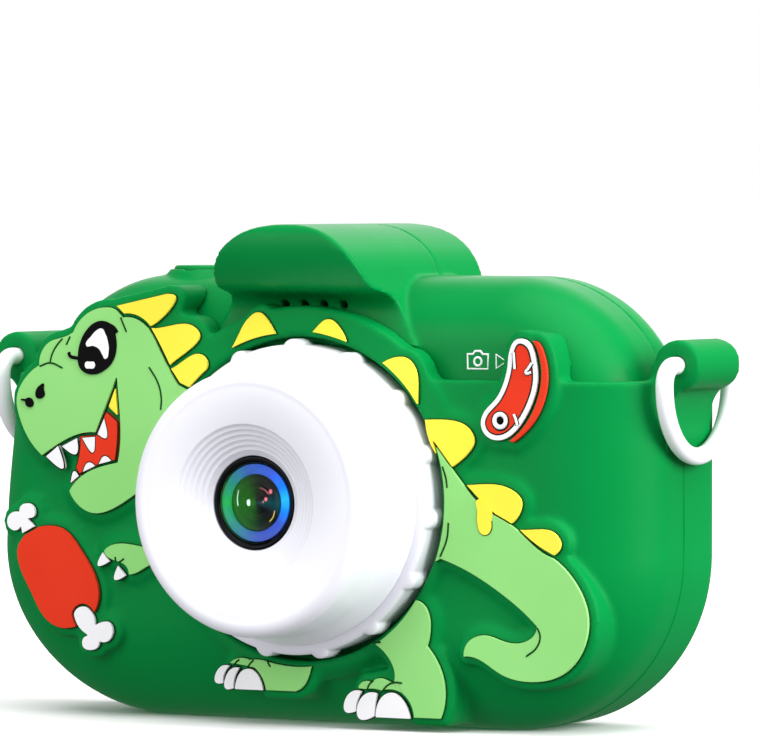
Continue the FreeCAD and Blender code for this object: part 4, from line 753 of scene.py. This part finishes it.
# ---------------------------------------------------------------- plain nodes

NODE_FINISH = {
    "front_camera_module": "module_grey", "d_ring_left": "ring_white",
    "d_ring_right": "ring_white", "main_board": "circuit_board", "lcd_module": "module_grey",
    "screen_window": "screen_clear", "battery": "battery_foil", "key_switches": "module_grey",
    "shutter_switch": "module_grey", "usb_port": "connector_steel", "card_slot": "connector_steel",
    "memory_card": "black_gloss", "speaker": "module_grey", "microphone": "connector_steel",
    "selfie_bezel": "black_gloss", "selfie_lens": "lens_glass", "selfie_camera_module": "module_grey",
    "case_screws": "screw_steel",
}
KEY_FINISH = {
    "shutter_button": "body_green", "power_button": "key_white", "mode_button": "key_white",
    "ok_button": "body_green", "dpad_right": "key_white", "dpad_up": "key_white", "dpad_left": "key_white",
    "dpad_down": "key_white",
}


def finish_nodes():
    for node, finish in NODE_FINISH.items():
        paint(nodes[node], finish)


def make_keys():
    """Every key with soft edges, riding on its own body."""
    for node, finish in KEY_FINISH.items():
        place_piece(softened(node + "_soft", node, 0.3 * MM), finish, body=node, stands_for=[node])


# ---------------------------------------------------------------- studio

def aim(item, place, target):
    item.location = place
    item.rotation_euler = (Vector(target) - Vector(place)).to_track_quat("-Z", "Y").to_euler()


def add_light(name, place, target, power, size, shade=(1.0, 1.0, 1.0)):
    data = bpy.data.lights.new(name, "AREA")
    data.energy = power
    data.size = size
    data.color = shade
    aim(link(name, data), place, target)


def make_studio():
    """Pale floor, soft lights, and the camera at 30 degrees to the lens side."""
    shape = bmesh.new()
    bmesh.ops.create_grid(shape, x_segments=1, y_segments=1, size=6.0)
    floor = mesh_piece("floor", shape)
    pale = plastic("floor_pale", colour(243, 243, 243), colour(245, 245, 245), 0.6, 40.0, 1e-6, specular=0.0)
    floor.data.materials.append(pale)
    floor.visible_diffuse = False
    floor.visible_glossy = False

    scene = bpy.context.scene
    scene.view_settings.view_transform = "Standard"
    world = bpy.data.worlds.new("studio")
    scene.world = world
    world.use_nodes = True
    tree = world.node_tree
    background = tree.nodes["Background"]
    background.inputs["Color"].default_value = (1.0, 1.0, 1.0, 1.0)
    background.inputs["Strength"].default_value = 0.4
    bright = tree.nodes.new("ShaderNodeBackground")
    bright.inputs["Color"].default_value = (1.0, 1.0, 1.0, 1.0)
    bright.inputs["Strength"].default_value = 1.0
    path = tree.nodes.new("ShaderNodeLightPath")
    mix = tree.nodes.new("ShaderNodeMixShader")
    tree.links.new(path.outputs["Is Camera Ray"], mix.inputs["Fac"])
    tree.links.new(background.outputs["Background"], mix.inputs[1])
    tree.links.new(bright.outputs["Background"], mix.inputs[2])
    tree.links.new(mix.outputs["Shader"], tree.nodes["World Output"].inputs["Surface"])

    middle = (0.0, 0.0, 0.03)
    add_light("right_light", (0.8, -0.05, 0.3), middle, 9.5, 0.5)
    add_light("front_light", (-0.35, -0.8, 0.25), middle, 3.5, 0.6)
    add_light("back_light", (-0.3, 0.8, 0.5), middle, 2.5, 0.8)
    data = bpy.data.lights.new("soft_sun", "SUN")
    data.energy = 2.9
    data.angle = math.radians(70)
    aim(link("soft_sun", data), (0.25, -0.25, 1.0), (0.0, 0.0, 0.0))

    azimuth = math.radians(29.79)
    elevation = math.radians(1.59)
    distance = 0.864
    target = Vector((2.99, 0.0, 45.91)) * MM
    away = Vector((math.sin(azimuth) * math.cos(elevation), -math.cos(azimuth) * math.cos(elevation),
                   math.sin(elevation)))
    data = bpy.data.cameras.new("camera")
    data.sensor_width = 36.0
    data.lens = 310.0
    data.clip_start = 0.01
    eye = link("view_camera", data)
    aim(eye, target + away * distance, target)
    scene.camera = eye


make_studio()
make_sleeve()
make_shells()
make_patches()
make_creases()
make_face()
make_steak()
make_drip()
make_lens()
make_lens_glass()
make_keys()
finish_nodes()
